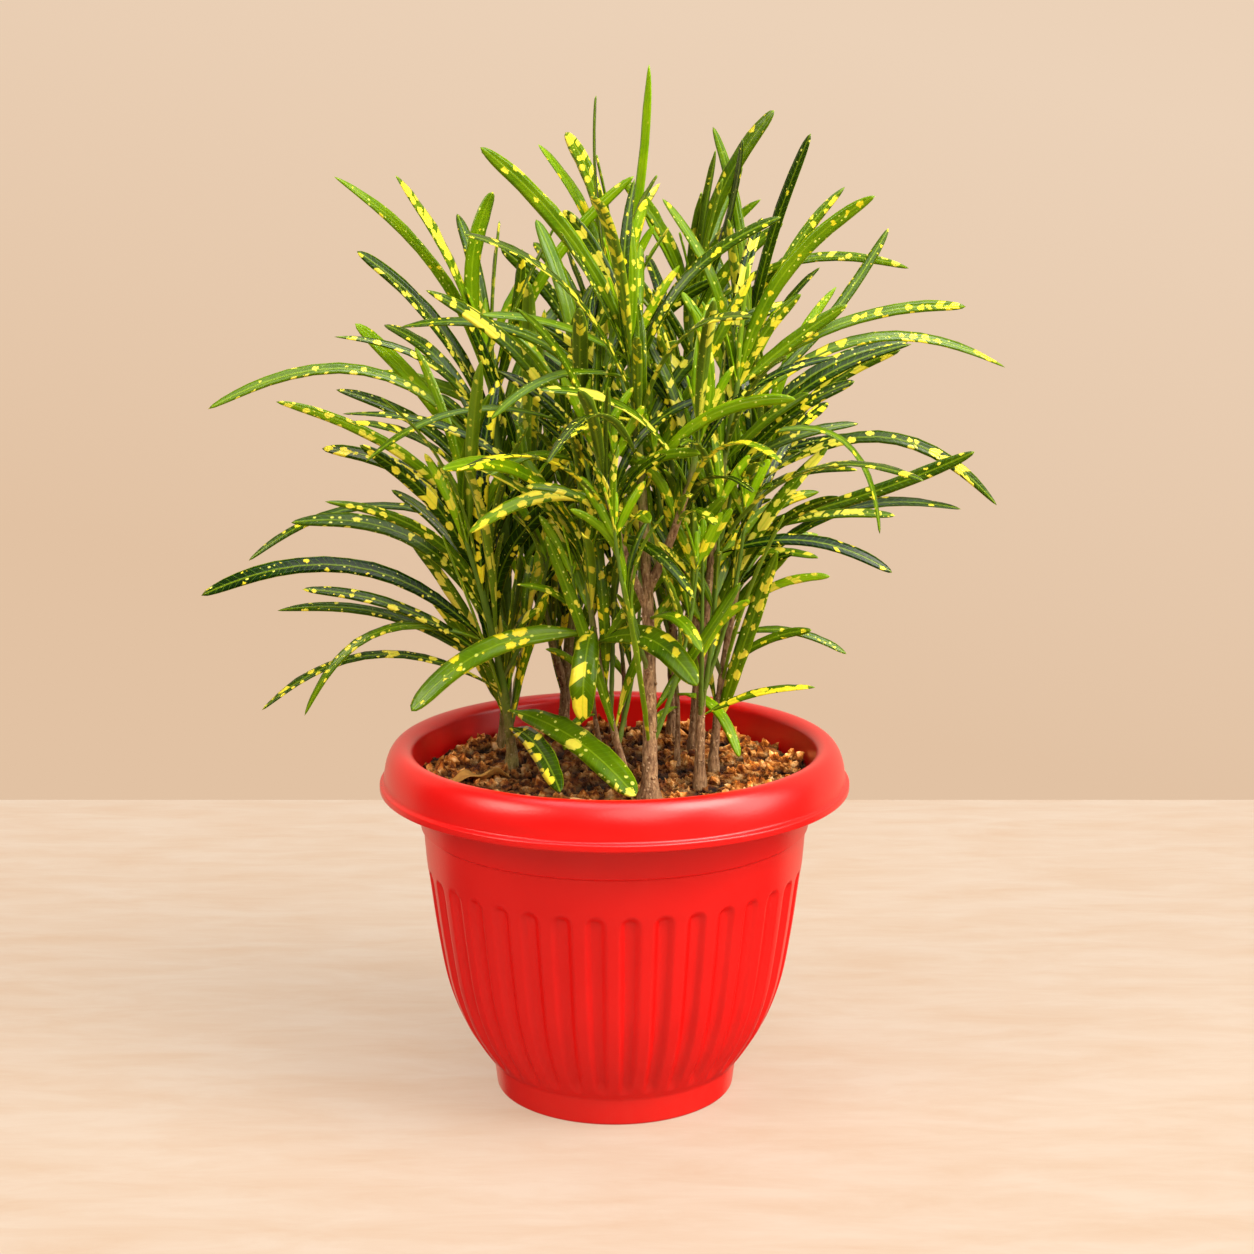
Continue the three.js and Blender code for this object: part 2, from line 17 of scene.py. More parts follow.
import bmesh
import bpy
import numpy as np
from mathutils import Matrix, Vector, noise
from mathutils.bvhtree import BVHTree
from mathutils.kdtree import KDTree

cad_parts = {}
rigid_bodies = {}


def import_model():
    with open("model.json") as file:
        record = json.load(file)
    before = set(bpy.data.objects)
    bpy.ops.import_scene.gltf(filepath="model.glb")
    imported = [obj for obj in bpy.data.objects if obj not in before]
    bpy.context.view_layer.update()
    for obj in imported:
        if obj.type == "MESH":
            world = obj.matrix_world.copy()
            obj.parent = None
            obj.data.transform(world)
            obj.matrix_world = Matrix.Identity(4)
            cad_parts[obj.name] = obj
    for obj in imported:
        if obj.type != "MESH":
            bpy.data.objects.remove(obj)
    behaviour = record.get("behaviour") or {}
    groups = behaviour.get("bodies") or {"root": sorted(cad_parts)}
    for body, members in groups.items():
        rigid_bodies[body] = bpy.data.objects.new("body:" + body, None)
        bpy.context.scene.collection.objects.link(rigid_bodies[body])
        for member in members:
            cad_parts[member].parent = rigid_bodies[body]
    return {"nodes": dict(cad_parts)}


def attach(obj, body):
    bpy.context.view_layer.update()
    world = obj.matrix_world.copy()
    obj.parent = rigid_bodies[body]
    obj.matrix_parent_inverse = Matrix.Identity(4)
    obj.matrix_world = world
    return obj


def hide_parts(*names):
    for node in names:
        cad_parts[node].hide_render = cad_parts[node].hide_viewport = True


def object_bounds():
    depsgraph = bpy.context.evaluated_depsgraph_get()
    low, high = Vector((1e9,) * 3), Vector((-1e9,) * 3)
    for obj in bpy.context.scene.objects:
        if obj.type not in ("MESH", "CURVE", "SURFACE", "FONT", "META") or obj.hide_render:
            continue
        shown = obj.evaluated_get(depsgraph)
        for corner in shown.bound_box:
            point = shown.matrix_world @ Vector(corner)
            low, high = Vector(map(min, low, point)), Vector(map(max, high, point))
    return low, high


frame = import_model()
cad_low, cad_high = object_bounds()
MM = 0.001
print("frame:", len(frame["nodes"]), "solids,", round((cad_high.z - cad_low.z) / MM), "mm tall")

# %% [markdown]
# ## The camera
#
# The photograph was taken from a little above the rim with a fairly long lens, so the plant keeps
# its true proportions. The lens comes from how fast the pot's ellipses open between its rim and its
# foot. The camera stands slightly to the right of the pot's axis.

# %% Camera
CAMERA_PLACE = (0.0055, -0.970, 0.4133)
CAMERA_PITCH = math.radians(11.83)
LENS = 64.84
SENSOR = 36

camera_data = bpy.data.cameras.new("camera")
camera_data.lens = LENS
camera_data.sensor_width = SENSOR
camera = bpy.data.objects.new("camera", camera_data)
camera.location = CAMERA_PLACE
camera.rotation_euler = (math.pi / 2 - CAMERA_PITCH, 0, 0)
bpy.context.collection.objects.link(camera)
bpy.context.scene.camera = camera
print("camera:", LENS, "mm lens,", round(math.degrees(CAMERA_PITCH), 1), "degrees down")

# %% [markdown]
# ## Small helpers
#
# Colours are written as a painter's hex value and turned to the linear values that shaders mix.
# One function adds a node to any tree, with its settings and its links. Others open a material or
# a Geometry Nodes tree with named inputs, and hand back the same function for that one tree. A
# finished tree is turned into a plain mesh.


# %% Colours and nodes
KINDS = ("ShaderNode", "GeometryNode", "FunctionNode", "")
SMOOTH = {"interpolation_type": "SMOOTHSTEP"}


def linear(hex_colour):
    """Linear RGBA of an sRGB hex colour."""
    shares = [int(hex_colour[i:i + 2], 16) / 255 for i in (1, 3, 5)]
    return (*[s / 12.92 if s <= 0.04045 else ((s + 0.055) / 1.055) ** 2.4 for s in shares], 1)


def add_node(tree, kind, *values, **named):
    """Adds a node. The kind may be followed by its operation or data type: "Math ADD".

    Values feed the inputs in use, in order. A name with a capital is one more input, with _ for
    a space, and any other name is a setting. A value is a plain one, a hex colour, a socket, or
    a node, which stands for its first output in use.
    """
    kind, _, mode = kind.partition(" ")
    node = tree.nodes.new(next(start + kind for start in KINDS if hasattr(bpy.types, start + kind)))
    if mode:
        setattr(node, "operation" if hasattr(node, "operation") else "data_type", mode)
    for name in [name for name in named if name[0].islower()]:
        setattr(node, name, named.pop(name))
    feeds = list(zip([socket for socket in node.inputs if socket.enabled], values))
    feeds += [(node.inputs[name.replace("_", " ")], value) for name, value in named.items()]
    for socket, value in feeds:
        if isinstance(value, bpy.types.Node):
            value = next(output for output in value.outputs if output.enabled)
        if isinstance(value, bpy.types.NodeSocket):
            tree.links.new(value, socket)
        else:
            is_colour = isinstance(value, str) and value.startswith("#")
            socket.default_value = linear(value) if is_colour else value
    return node


def new_material(name):
    """A material with an empty tree, and add_node for that tree."""
    material = bpy.data.materials.new(name)
    material.use_nodes = True
    material.node_tree.nodes.clear()
    return material, partial(add_node, material.node_tree)


def new_tree(name, **sockets):
    """A Geometry Nodes tree with named inputs: the tree, its inputs, and add_node for it."""
    tree = bpy.data.node_groups.new(name, "GeometryNodeTree")
    tree.is_modifier = True
    tree.interface.new_socket("Geometry", in_out="OUTPUT", socket_type="NodeSocketGeometry")
    for socket, kind in {"Geometry": "Geometry", **sockets}.items():
        tree.interface.new_socket(socket.replace("_", " "), in_out="INPUT",
                                  socket_type="NodeSocket" + kind)
    return tree, add_node(tree, "NodeGroupInput").outputs, partial(add_node, tree)


def end_tree(tree, geometry, material):
    """Ends a tree in Realize Instances and Set Material."""
    real = add_node(tree, "RealizeInstances", geometry)
    add_node(tree, "NodeGroupOutput", add_node(tree, "SetMaterial", real, Material=material))
    print(tree.name + ":", len(tree.nodes), "nodes")
    return tree


print("mid grey is", round(linear("#808080")[0], 3), "in linear light")


# %% Meshes and pieces
def new_object(name, mesh):
    thing = bpy.data.objects.new(name, mesh)
    bpy.context.collection.objects.link(thing)
    return thing


def mesh_object(name, corners, faces=(), edges=(), **marks):
    """A smooth mesh. Each mark is an attribute, with a number or a vector for each corner."""
    mesh = bpy.data.meshes.new(name)
    mesh.from_pydata([tuple(corner) for corner in corners], edges, faces)
    for key, values in marks.items():
        values = np.array(values, float)
        kind, field = ("FLOAT_VECTOR", "vector") if values.ndim == 2 else ("FLOAT", "value")
        mesh.attributes.new(key, kind, "POINT").data.foreach_set(field, values.ravel())
    mesh.shade_smooth()
    return new_object(name, mesh)


def mesh_from(name, shape):
    """A finished bmesh as a mesh."""
    mesh = bpy.data.meshes.new(name)
    shape.to_mesh(mesh)
    shape.free()
    return mesh


def ring_faces(rings, sides, first=0, flip=1):
    """The quads between rings of corners; flip is -1 where they would face inwards."""
    for ring in range(rings - 1):
        for side in range(sides):
            a = first + ring * sides + side
            b = first + ring * sides + (side + 1) % sides
            yield a, *(a + sides, b + sides, b)[::flip]


def bake(thing):
    """Keeps what the object's modifiers make as its own plain mesh."""
    depsgraph = bpy.context.evaluated_depsgraph_get()
    mesh = bpy.data.meshes.new_from_object(thing.evaluated_get(depsgraph))
    thing.modifiers.clear()
    thing.data = mesh


def run_tree(thing, tree, **values):
    """Runs a tree on an object, with each of its inputs set by the socket's identifier."""
    modifier = thing.modifiers.new(tree.name, "NODES")
    modifier.node_group = tree
    for item in tree.interface.items_tree:
        if item.in_out == "INPUT" and item.name != "Geometry":
            modifier[item.identifier] = values[item.name.replace(" ", "_")]
    bake(thing)


def finish_piece(thing, node):
    """The piece rides on the frame's one body and stands for its CAD node."""
    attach(thing, "root")
    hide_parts(node)
    print(thing.name + ":", len(thing.data.polygons), "faces")


# %% [markdown]
# ## Red polypropylene
#
# The pot is injection-moulded polypropylene with a satin skin. The plastic is coloured all through,
# so its colour hardly changes. What the eye reads is the soft, broad gloss on the rim, a faint
# unevenness from the mould, and a little dust low down on the foot.


# %% Pot material
def moulded_polypropylene():
    """Gives the eye one even, saturated red with a broad soft gloss."""
    material, node = new_material("moulded_polypropylene_red")
    place = node("TexCoord").outputs["Object"]
    cloud = node("TexNoise", Vector=place, Scale=28.0, Detail=3.0)
    red = node("Mix RGBA", cloud, "#e00402", "#ee0603")
    # Fine dust settles towards the foot, over the lowest 50 mm
    low = node("MapRange", node("SeparateXYZ", place).outputs["Z"], 0.05, 0.0, 0.0, 0.06)
    grain = node("TexNoise", Vector=place, Scale=260.0, Detail=5.0)
    dusty = node("Mix RGBA", node("Math MULTIPLY", low, grain), red, "#c98f72")
    # The mould's skin: a fine leathery texture of about half a millimetre, over slow waves
    skin = node("TexNoise", Vector=place, Scale=900.0, Detail=2.0)
    wave = node("TexNoise", Vector=place, Scale=55.0, Detail=2.0)
    relief = node("Math MULTIPLY_ADD", wave, 0.7, skin)
    bump = node("Bump", Height=relief, Strength=0.12, Distance=0.4 * MM)
    rough = node("MapRange", cloud, To_Min=0.27, To_Max=0.35)
    shader = node("BsdfPrincipled", dusty, Roughness=rough, Normal=bump, IOR=1.49,
                  Specular_IOR_Level=0.7)
    node("OutputMaterial", shader)
    return material


pot_plastic = moulded_polypropylene()
print("pot plastic:", len(pot_plastic.node_tree.nodes), "nodes")

# %% [markdown]
# ## The pot
#
# The bowl was moulded in one shot: a plain foot, a bowl pressed into flutes, a collar, a thin lip
# and a rolled rim. A turned profile gives all of it but the flutes, so a lathe in mesh code comes
# first. The flutes follow one rule around the bowl, and Geometry Nodes press them in: each point
# of the outer wall asks how far it is from the middle line of its flute, and how far it is above
# the middle of the flute's round top.

# %% Pot sizes, in millimetres
FOOT_RADIUS, FOOT_ROUND = 53.7, 1.2
FOOT_WALL = [(53.8, 2), (54.9, 11.6)]
BOWL = [(55, 12.5), (57, 14.5), (62.5, 22.5), (69.5, 35), (75.7, 53), (79.8, 76), (82.8, 99),
        (83.8, 106), (85, 121.4)]
COLLAR = {"radius": 86.2, "foot": 122.7, "round": 0.9, "wall": [(86.5, 126), (87.9, 136.8)]}
NECK_RADIUS, NECK_ROUND = 88, 2
LIP = {"radius": 104, "bottom": 139.2, "top": 142.5, "round": 0.8}
RIM = {"radius": 102, "start": 143.6, "crest_radius": 94.7, "crest": 158.5,
       "inner_radius": 89, "inner": 154.5}
INSIDE = [(88, 148), (86.6, 138), (84.2, 122), (79.1, 99), (72, 53), (48, 3)]
FLUTES = 36
FLUTE_TURN = math.radians(4.8)
FLUTE = {"Depth": 2.1, "Half_Width": 5, "Edge": 3.5, "Top": 105.5, "Foot": 15}
# A flute's largest share of its pitch, and the height over which its foot fades out
FLUTE_SHARE, FLUTE_FADE = 0.7, 7
# Where the mesh has its columns: shares of the way from a flute's middle to the ridge's middle
FLUTE_COLUMNS = (0, 0.15, 0.26, 0.36, 0.45, 0.53, 0.61, 0.68, 0.76, 1)
# The flutes' round tops lie between these heights, and get closer rows
FLUTE_TOPS = (96, 107)
DRAINS = {"holes": 6, "radius": 4, "ring": 32, "drill": 20, "sides": 24}
# Edges bent more than this stay sharp
CREASE = math.radians(42)
print("pot:", RIM["crest"], "mm high,", 2 * LIP["radius"], "mm wide,", FLUTES, "flutes")


# %% Profile
def arc(centre, radii, start, end, steps=4):
    """Points of an elliptic arc, with its angles in degrees."""
    turns = [math.radians(start + (end - start) * i / steps) for i in range(steps + 1)]
    return [(centre[0] + radii[0] * math.cos(turn), centre[1] + radii[1] * math.sin(turn))
            for turn in turns]


def smooth_line(points, gap):
    """A Catmull-Rom line through the points, with a point about every gap."""
    points = [np.array(p, float) for p in points]
    ends = [2 * points[0] - points[1], *points, 2 * points[-1] - points[-2]]
    line = []
    for a, b, c, d in zip(ends, ends[1:], ends[2:], ends[3:]):
        steps = max(1, round(np.linalg.norm(c - b) / gap))
        for t in [i / steps for i in range(steps)]:
            line.append(tuple(0.5 * (2 * b + (c - a) * t + (2 * a - 5 * b + 4 * c - d) * t ** 2
                                     + (3 * b - a - 3 * c + d) * t ** 3)))
    return line + [tuple(points[-1])]


def with_closer_rows(line, low, high):
    """The line with two more points in each step between the two heights."""
    finer = [line[0]]
    for a, b in zip(line, line[1:]):
        steps = 3 if low < a[1] < high else 1
        finer += [tuple(np.array(a) + (np.array(b) - a) * (i + 1) / steps) for i in range(steps)]
    return finer


def pot_outside():
    """The outer profile from the middle of the base up to the rim's inner edge."""
    lip_edge, lip_round = LIP["radius"] - LIP["round"], (LIP["round"], LIP["round"])
    crest, rim_start = RIM["crest_radius"], RIM["start"]
    return [
        (0.5, 0), (20, 0), (38, 0),
        *arc((FOOT_RADIUS - FOOT_ROUND, FOOT_ROUND), (FOOT_ROUND, FOOT_ROUND), -90, 0),
        *smooth_line(FOOT_WALL, 3),
        *with_closer_rows(smooth_line(BOWL, 2.5), *FLUTE_TOPS),
        *arc((COLLAR["radius"] - COLLAR["round"], COLLAR["foot"]),
             (COLLAR["round"], COLLAR["round"]), -70, 0),
        *smooth_line(COLLAR["wall"], 3),
        *arc((NECK_RADIUS + NECK_ROUND, LIP["bottom"] - NECK_ROUND), (NECK_ROUND, NECK_ROUND),
             180, 90),
        *smooth_line([(92, LIP["bottom"]), (lip_edge - 0.5, LIP["bottom"])], 4),
        *arc((lip_edge, LIP["bottom"] + LIP["round"]), lip_round, -90, 0),
        *arc((lip_edge, LIP["top"] - LIP["round"]), lip_round, 0, 90),
        *arc((RIM["radius"] + 1, rim_start), (1, 1), -90, -180),
        *arc((crest, rim_start), (RIM["radius"] - crest, RIM["crest"] - rim_start), 4, 90, 14),
        *arc((crest, RIM["inner"]), (crest - RIM["inner_radius"], RIM["crest"] - RIM["inner"]),
             97, 180, 8)]


def flute_angles():
    """The columns' angles around the pot, close together at the edges of each flute."""
    half = math.pi / FLUTES
    first = -math.pi / 2 + FLUTE_TURN + half
    sides = [-share for share in FLUTE_COLUMNS[:0:-1]] + list(FLUTE_COLUMNS[:-1])
    return np.array([first + half * (2 * i + share) for i in range(FLUTES) for share in sides])


def turned(name, outside, inside, turns):
    """A closed turned body; the attribute 'outside' marks the wall that the flutes press into."""
    profile, columns = np.array(outside + inside) * MM, len(turns)
    radii = profile[:, :1]
    heights = np.repeat(profile[:, 1:], columns, axis=1)
    corners = np.stack([radii * np.cos(turns), radii * np.sin(turns), heights], axis=-1)
    faces = list(ring_faces(len(profile), columns, flip=-1))
    faces.append(tuple(range(columns))[::-1])
    faces.append(tuple(range((len(profile) - 1) * columns, len(profile) * columns)))
    marks = np.repeat([1.0] * len(outside) + [0.0] * len(inside), columns)
    return mesh_object(name, corners.reshape(-1, 3).tolist(), faces, outside=marks)


print("profile:", len(pot_outside() + INSIDE), "points,", len(flute_angles()), "columns")


# %% [markdown]
# ### Pressing the flutes
#
# The tree works in two steps. The angle of a point, counted in flutes, gives its distance across
# the flute. Above the top's middle the height joins in by Pythagoras, which makes the round end.
# A smooth step over the edge's width then turns that distance into how deep the wall is pressed.


# %% Flute tree
def flute_tree():
    tree, given, node = new_tree("press_flutes", Flutes="Int", Turn="Float", Depth="Float",
                                 Half_Width="Float", Edge="Float", Top="Float", Foot="Float",
                                 Material="Material")
    spot = node("InputPosition")
    x, y, z = node("SeparateXYZ", spot).outputs
    flat = node("VectorMath MULTIPLY", spot, (1, 1, 0))
    radius = node("VectorMath LENGTH", flat)
    angle = node("Math SUBTRACT", node("Math ARCTAN2", y, x), given["Turn"])
    half_pitch = node("Math DIVIDE", math.pi, given["Flutes"])
    off_ridge = node("Math PINGPONG", angle, half_pitch)
    across = node("Math MULTIPLY", node("Math SUBTRACT", half_pitch, off_ridge), radius)
    round_middle = node("Math SUBTRACT", given["Top"], given["Half Width"])
    over = node("Math MAXIMUM", node("Math SUBTRACT", z, round_middle), 0.0)
    distance = node("VectorMath LENGTH", node("CombineXYZ", across, over))
    # The bowl narrows towards the foot, and the flutes narrow with it
    share = node("Math MULTIPLY", node("Math MULTIPLY", half_pitch, radius), FLUTE_SHARE)
    reach = node("Math MINIMUM", share, given["Half Width"])
    inner = node("Math SUBTRACT", reach, given["Edge"])
    pressed = node("MapRange", distance, reach, inner, **SMOOTH)
    fade_end = node("Math ADD", given["Foot"], FLUTE_FADE * MM)
    fade = node("MapRange", z, given["Foot"], fade_end, **SMOOTH)
    marked = node("Math MULTIPLY", node("Math MULTIPLY", pressed, fade),
                  node("InputNamedAttribute FLOAT", "outside"))
    inwards = node("Math MULTIPLY", node("Math MULTIPLY", marked, given["Depth"]), -1.0)
    offset = node("VectorMath SCALE", node("VectorMath NORMALIZE", flat), inwards)
    moved = node("SetPosition", given["Geometry"], Offset=offset)
    return end_tree(tree, moved, given["Material"])


# %% Make the pot
def drill_holes(thing):
    """Round drain holes through the flat base."""
    drills, radius = bmesh.new(), DRAINS["radius"] * MM
    for i in range(DRAINS["holes"]):
        turn = 2 * math.pi * i / DRAINS["holes"]
        made = bmesh.ops.create_cone(drills, cap_ends=True, segments=DRAINS["sides"],
                                     radius1=radius, radius2=radius, depth=DRAINS["drill"] * MM)
        away = DRAINS["ring"] * MM * Vector((math.cos(turn), math.sin(turn), 0))
        bmesh.ops.translate(drills, verts=made["verts"], vec=away)
    drill = new_object("drills", mesh_from("drills", drills))
    cut = thing.modifiers.new("drain_holes", "BOOLEAN")
    cut.operation = "DIFFERENCE"
    cut.object = drill
    bake(thing)
    bpy.data.objects.remove(drill)


pot = turned("pot_moulding", pot_outside(), INSIDE, flute_angles())
run_tree(pot, flute_tree(), Flutes=FLUTES, Material=pot_plastic,
         Turn=-math.pi / 2 + FLUTE_TURN + math.pi / FLUTES,
         **{name: size * MM for name, size in FLUTE.items()})
drill_holes(pot)
pot.data.shade_smooth()
pot.data.set_sharp_from_angle(angle=CREASE)
finish_piece(pot, "pot")

# %% [markdown]
# ## Potting soil
#
# The bed is bark-based potting soil: a crust of brown crumbs and fibres with paler grains of sand
# and washed-out bark. One displaced disc gives the lie of the land, as the stems and the rim see
# it. The crumbs repeat a few shapes many times over a surface, which is what Geometry Nodes
# scattering is for, with a fixed seed and low-poly grains.


# %% Soil material
SOIL_BROWNS = {0.3: "#3e1800", 0.42: "#7c3e08", 0.5: "#ac641c", 0.6: "#d69a54", 0.74: "#f4cc94"}


def potting_soil():
    """Gives the eye matt brown crumbs under painted shade and light: dark low and mid-bed, pale
    high and at the edge.
    """
    material, node = new_material("potting_soil_damp_bark")
    place = node("TexCoord").outputs["Object"]
    # Browns in patches of a few millimetres, and a relief of small crumbs
    crumbs = node("TexVoronoi", Vector=place, Scale=330.0)
    patches = node("TexNoise", Vector=place, Scale=210.0, Detail=4.0)
    brown = node("ValToRGB", patches)
    ramp = brown.color_ramp.elements
    ramp[0].position, ramp[1].position = min(SOIL_BROWNS), max(SOIL_BROWNS)
    for position in sorted(SOIL_BROWNS)[1:-1]:
        ramp.new(position)
    for element, colour in zip(ramp, SOIL_BROWNS.values()):
        element.color = linear(colour)
    # Painted shade deep between the crumbs and painted light on their tops: the lower a point, the
    # darker
    depth = node("SeparateXYZ", place).outputs["Z"]
    shade = node("MapRange", depth, 143.5 * MM, 149 * MM, 0.04, 1.5)
    # Painted shade and light: darker in the middle under the crown, lighter towards the edge, most
    # of all to the right, where the key lamp falls
    flat = node("VectorMath MULTIPLY_ADD", place, (1, 1, 0), (12 * MM, 0, 0))
    painted_shade_and_light = node("MapRange", node("VectorMath LENGTH", flat), 30 * MM, 95 * MM, 0.5, 1.8)
    mixed = node("VectorMath SCALE", brown, node("Math MULTIPLY", shade, painted_shade_and_light))
    fine = node("TexNoise", Vector=place, Scale=1100.0, Detail=4.0)
    bump = node("Bump", Height=node("Math SUBTRACT", crumbs, fine), Strength=0.8, Distance=1.4 * MM)
    node("OutputMaterial", node("BsdfPrincipled", mixed, Normal=bump, Roughness=0.9, IOR=1.4))
    return material


soil_crumb = potting_soil()
print("soil crumb:", len(soil_crumb.node_tree.nodes), "nodes")

# %% The soil bed, in millimetres
SOIL_TOP = 145
SOIL_EDGE = 87.2
SOIL_SINK = 2.5
SINK_START = 76
BED_FOOT = {"radius": 81.4, "height": 112}
BED_RINGS, BED_SPOKES = 62, 200
DRY_LEAF_PLACE = (-58, -20)
# The soil is flat for this far around the dead leaf, and wavy beyond the edge's width
FLAT_SPOT = {"radius": 26, "edge": 12}


def soil_height(x, y):
    """The lie of the soil: slow waves, flat under the dead leaf, sunk against the pot."""
    wave = math.sin(x * 0.31 + 1.3) * math.cos(y * 0.27) + 0.6 * math.sin(x * 0.13 - y * 0.19)
    away = math.hypot(x - DRY_LEAF_PLACE[0], y - DRY_LEAF_PLACE[1])
    wave *= 1.5 * min(1, max(0, (away - FLAT_SPOT["radius"]) / FLAT_SPOT["edge"]))
    edge = max(0, (math.hypot(x, y) - SINK_START) / (SOIL_EDGE - SINK_START))
    lumps = noise.fractal(Vector((x, y, 0)) / 7, 1.0, 2.1, 4)
    return SOIL_TOP + wave - SOIL_SINK * edge ** 2 + 0.8 * lumps - 0.6


def make_soil_bed():
    corners = [(0, 0, soil_height(0, 0))]
    for ring in range(1, BED_RINGS + 1):
        radius = SOIL_EDGE * ring / BED_RINGS
        for j in range(BED_SPOKES):
            turn = 2 * math.pi * (j + 0.5 * (ring % 2)) / BED_SPOKES
            x, y = radius * math.cos(turn), radius * math.sin(turn)
            corners.append((x, y, soil_height(x, y)))
    for j in range(BED_SPOKES):
        turn = 2 * math.pi * j / BED_SPOKES
        corners.append((BED_FOOT["radius"] * math.cos(turn), BED_FOOT["radius"] * math.sin(turn),
                        BED_FOOT["height"]))
    faces = [(0, 1 + j, 1 + (j + 1) % BED_SPOKES) for j in range(BED_SPOKES)]
    faces += ring_faces(BED_RINGS + 1, BED_SPOKES, first=1)
    faces.append(tuple(range(len(corners) - BED_SPOKES, len(corners)))[::-1])
    bed = mesh_object("soil_bed", [[c * MM for c in corner] for corner in corners], faces)
    bed.data.materials.append(soil_crumb)
    return bed


soil_bed = make_soil_bed()
soil_bed_mesh = soil_bed.data.copy()
finish_piece(soil_bed, "soil")

# %% [markdown]
# ### Crumbs
#
# Four knobbly grains are enough: turned and scaled at random, nobody finds the same one twice. The
# tree drops them on the soil's upward faces, turns and scales each one, and realizes them.

# %% Scatter tree
GRAINS = 4
FULL_TURN = 6.28
# The least upward share of a face's normal for crumbs to lie on it
UPWARD = 0.3
# How many a square metre, their smallest and largest size in mm, and a seed
CRUMBS = {"soil_crumbs_small": (70000, 0.5, 1.2, 3), "soil_crumbs_large": (34000, 1.3, 3.0, 11)}
CRUMB_REACH = 86.2


def grain_collection():
    """Knobbly lumps of 80 faces, about 2 units across and rather long."""
    parts = bpy.data.collections.new("grains")
    for i in range(GRAINS):
        lump = bmesh.new()
        bmesh.ops.create_icosphere(lump, subdivisions=2, radius=1)
        for corner in lump.verts:
            corner.co *= 1 + 1.1 * noise.noise(corner.co * 1.9 + Vector((7.3 * i, 0, 0)))
            corner.co.x *= 1.1 + 0.15 * i
            corner.co.z *= 0.8
        name = f"grain_{i}"
        parts.objects.link(bpy.data.objects.new(name, mesh_from(name, lump)))
    return parts


def scatter_tree():
    tree, given, node = new_tree("scatter_crumbs", Grains="Collection", Density="Float",
                                 Small="Float", Large="Float", Seed="Int", Reach="Float",
                                 Material="Material")
    seed = given["Seed"]
    up = node("SeparateXYZ", node("InputNormal")).outputs["Z"]
    flat = node("VectorMath MULTIPLY", node("InputPosition"), (1, 1, 0))
    inside = node("Math LESS_THAN", node("VectorMath LENGTH", flat), given["Reach"])
    where = node("Math MULTIPLY", node("Math GREATER_THAN", up, UPWARD), inside)
    spots = node("DistributePointsOnFaces", given["Geometry"], where, given["Density"], seed)
    grains = node("CollectionInfo", given["Grains"], Separate_Children=True, Reset_Children=True)
    size = node("RandomValue FLOAT", given["Small"], given["Large"], Seed=seed)
    turn = node("RandomValue FLOAT_VECTOR", (0, 0, 0), (FULL_TURN,) * 3, Seed=seed)
    placed = node("InstanceOnPoints", spots, Instance=grains, Pick_Instance=True, Rotation=turn,
                  Scale=size)
    return end_tree(tree, placed, given["Material"])


# %% Scatter the crumbs
grains = grain_collection()
crumb_tree = scatter_tree()
for crumb_name, (density, small, large, seed) in CRUMBS.items():
    crumbs = new_object(crumb_name, soil_bed_mesh.copy())
    run_tree(crumbs, crumb_tree, Grains=grains, Density=float(density), Small=small * MM,
             Large=large * MM, Seed=seed, Reach=CRUMB_REACH * MM, Material=soil_crumb)
    finish_piece(crumbs, "soil")
for grain in list(grains.objects):
    bpy.data.objects.remove(grain)
bpy.data.collections.remove(grains)

# %% [markdown]
# ## How the plant grows
#
# Each stem is listed with its foot and top, how far it bows, its radius at both ends, and how the
# leaves fill it: how many, from which height, which way they lean and how steep the lowest are.
# Then come the leaves that can be told apart: the height where each leaves the stem, its tip, how
# much it arches and how wide it is. The filling leaves follow the rule of the living plant: each
# new one turns 137.5 degrees from the last. Lower ones are longer and hang lower.

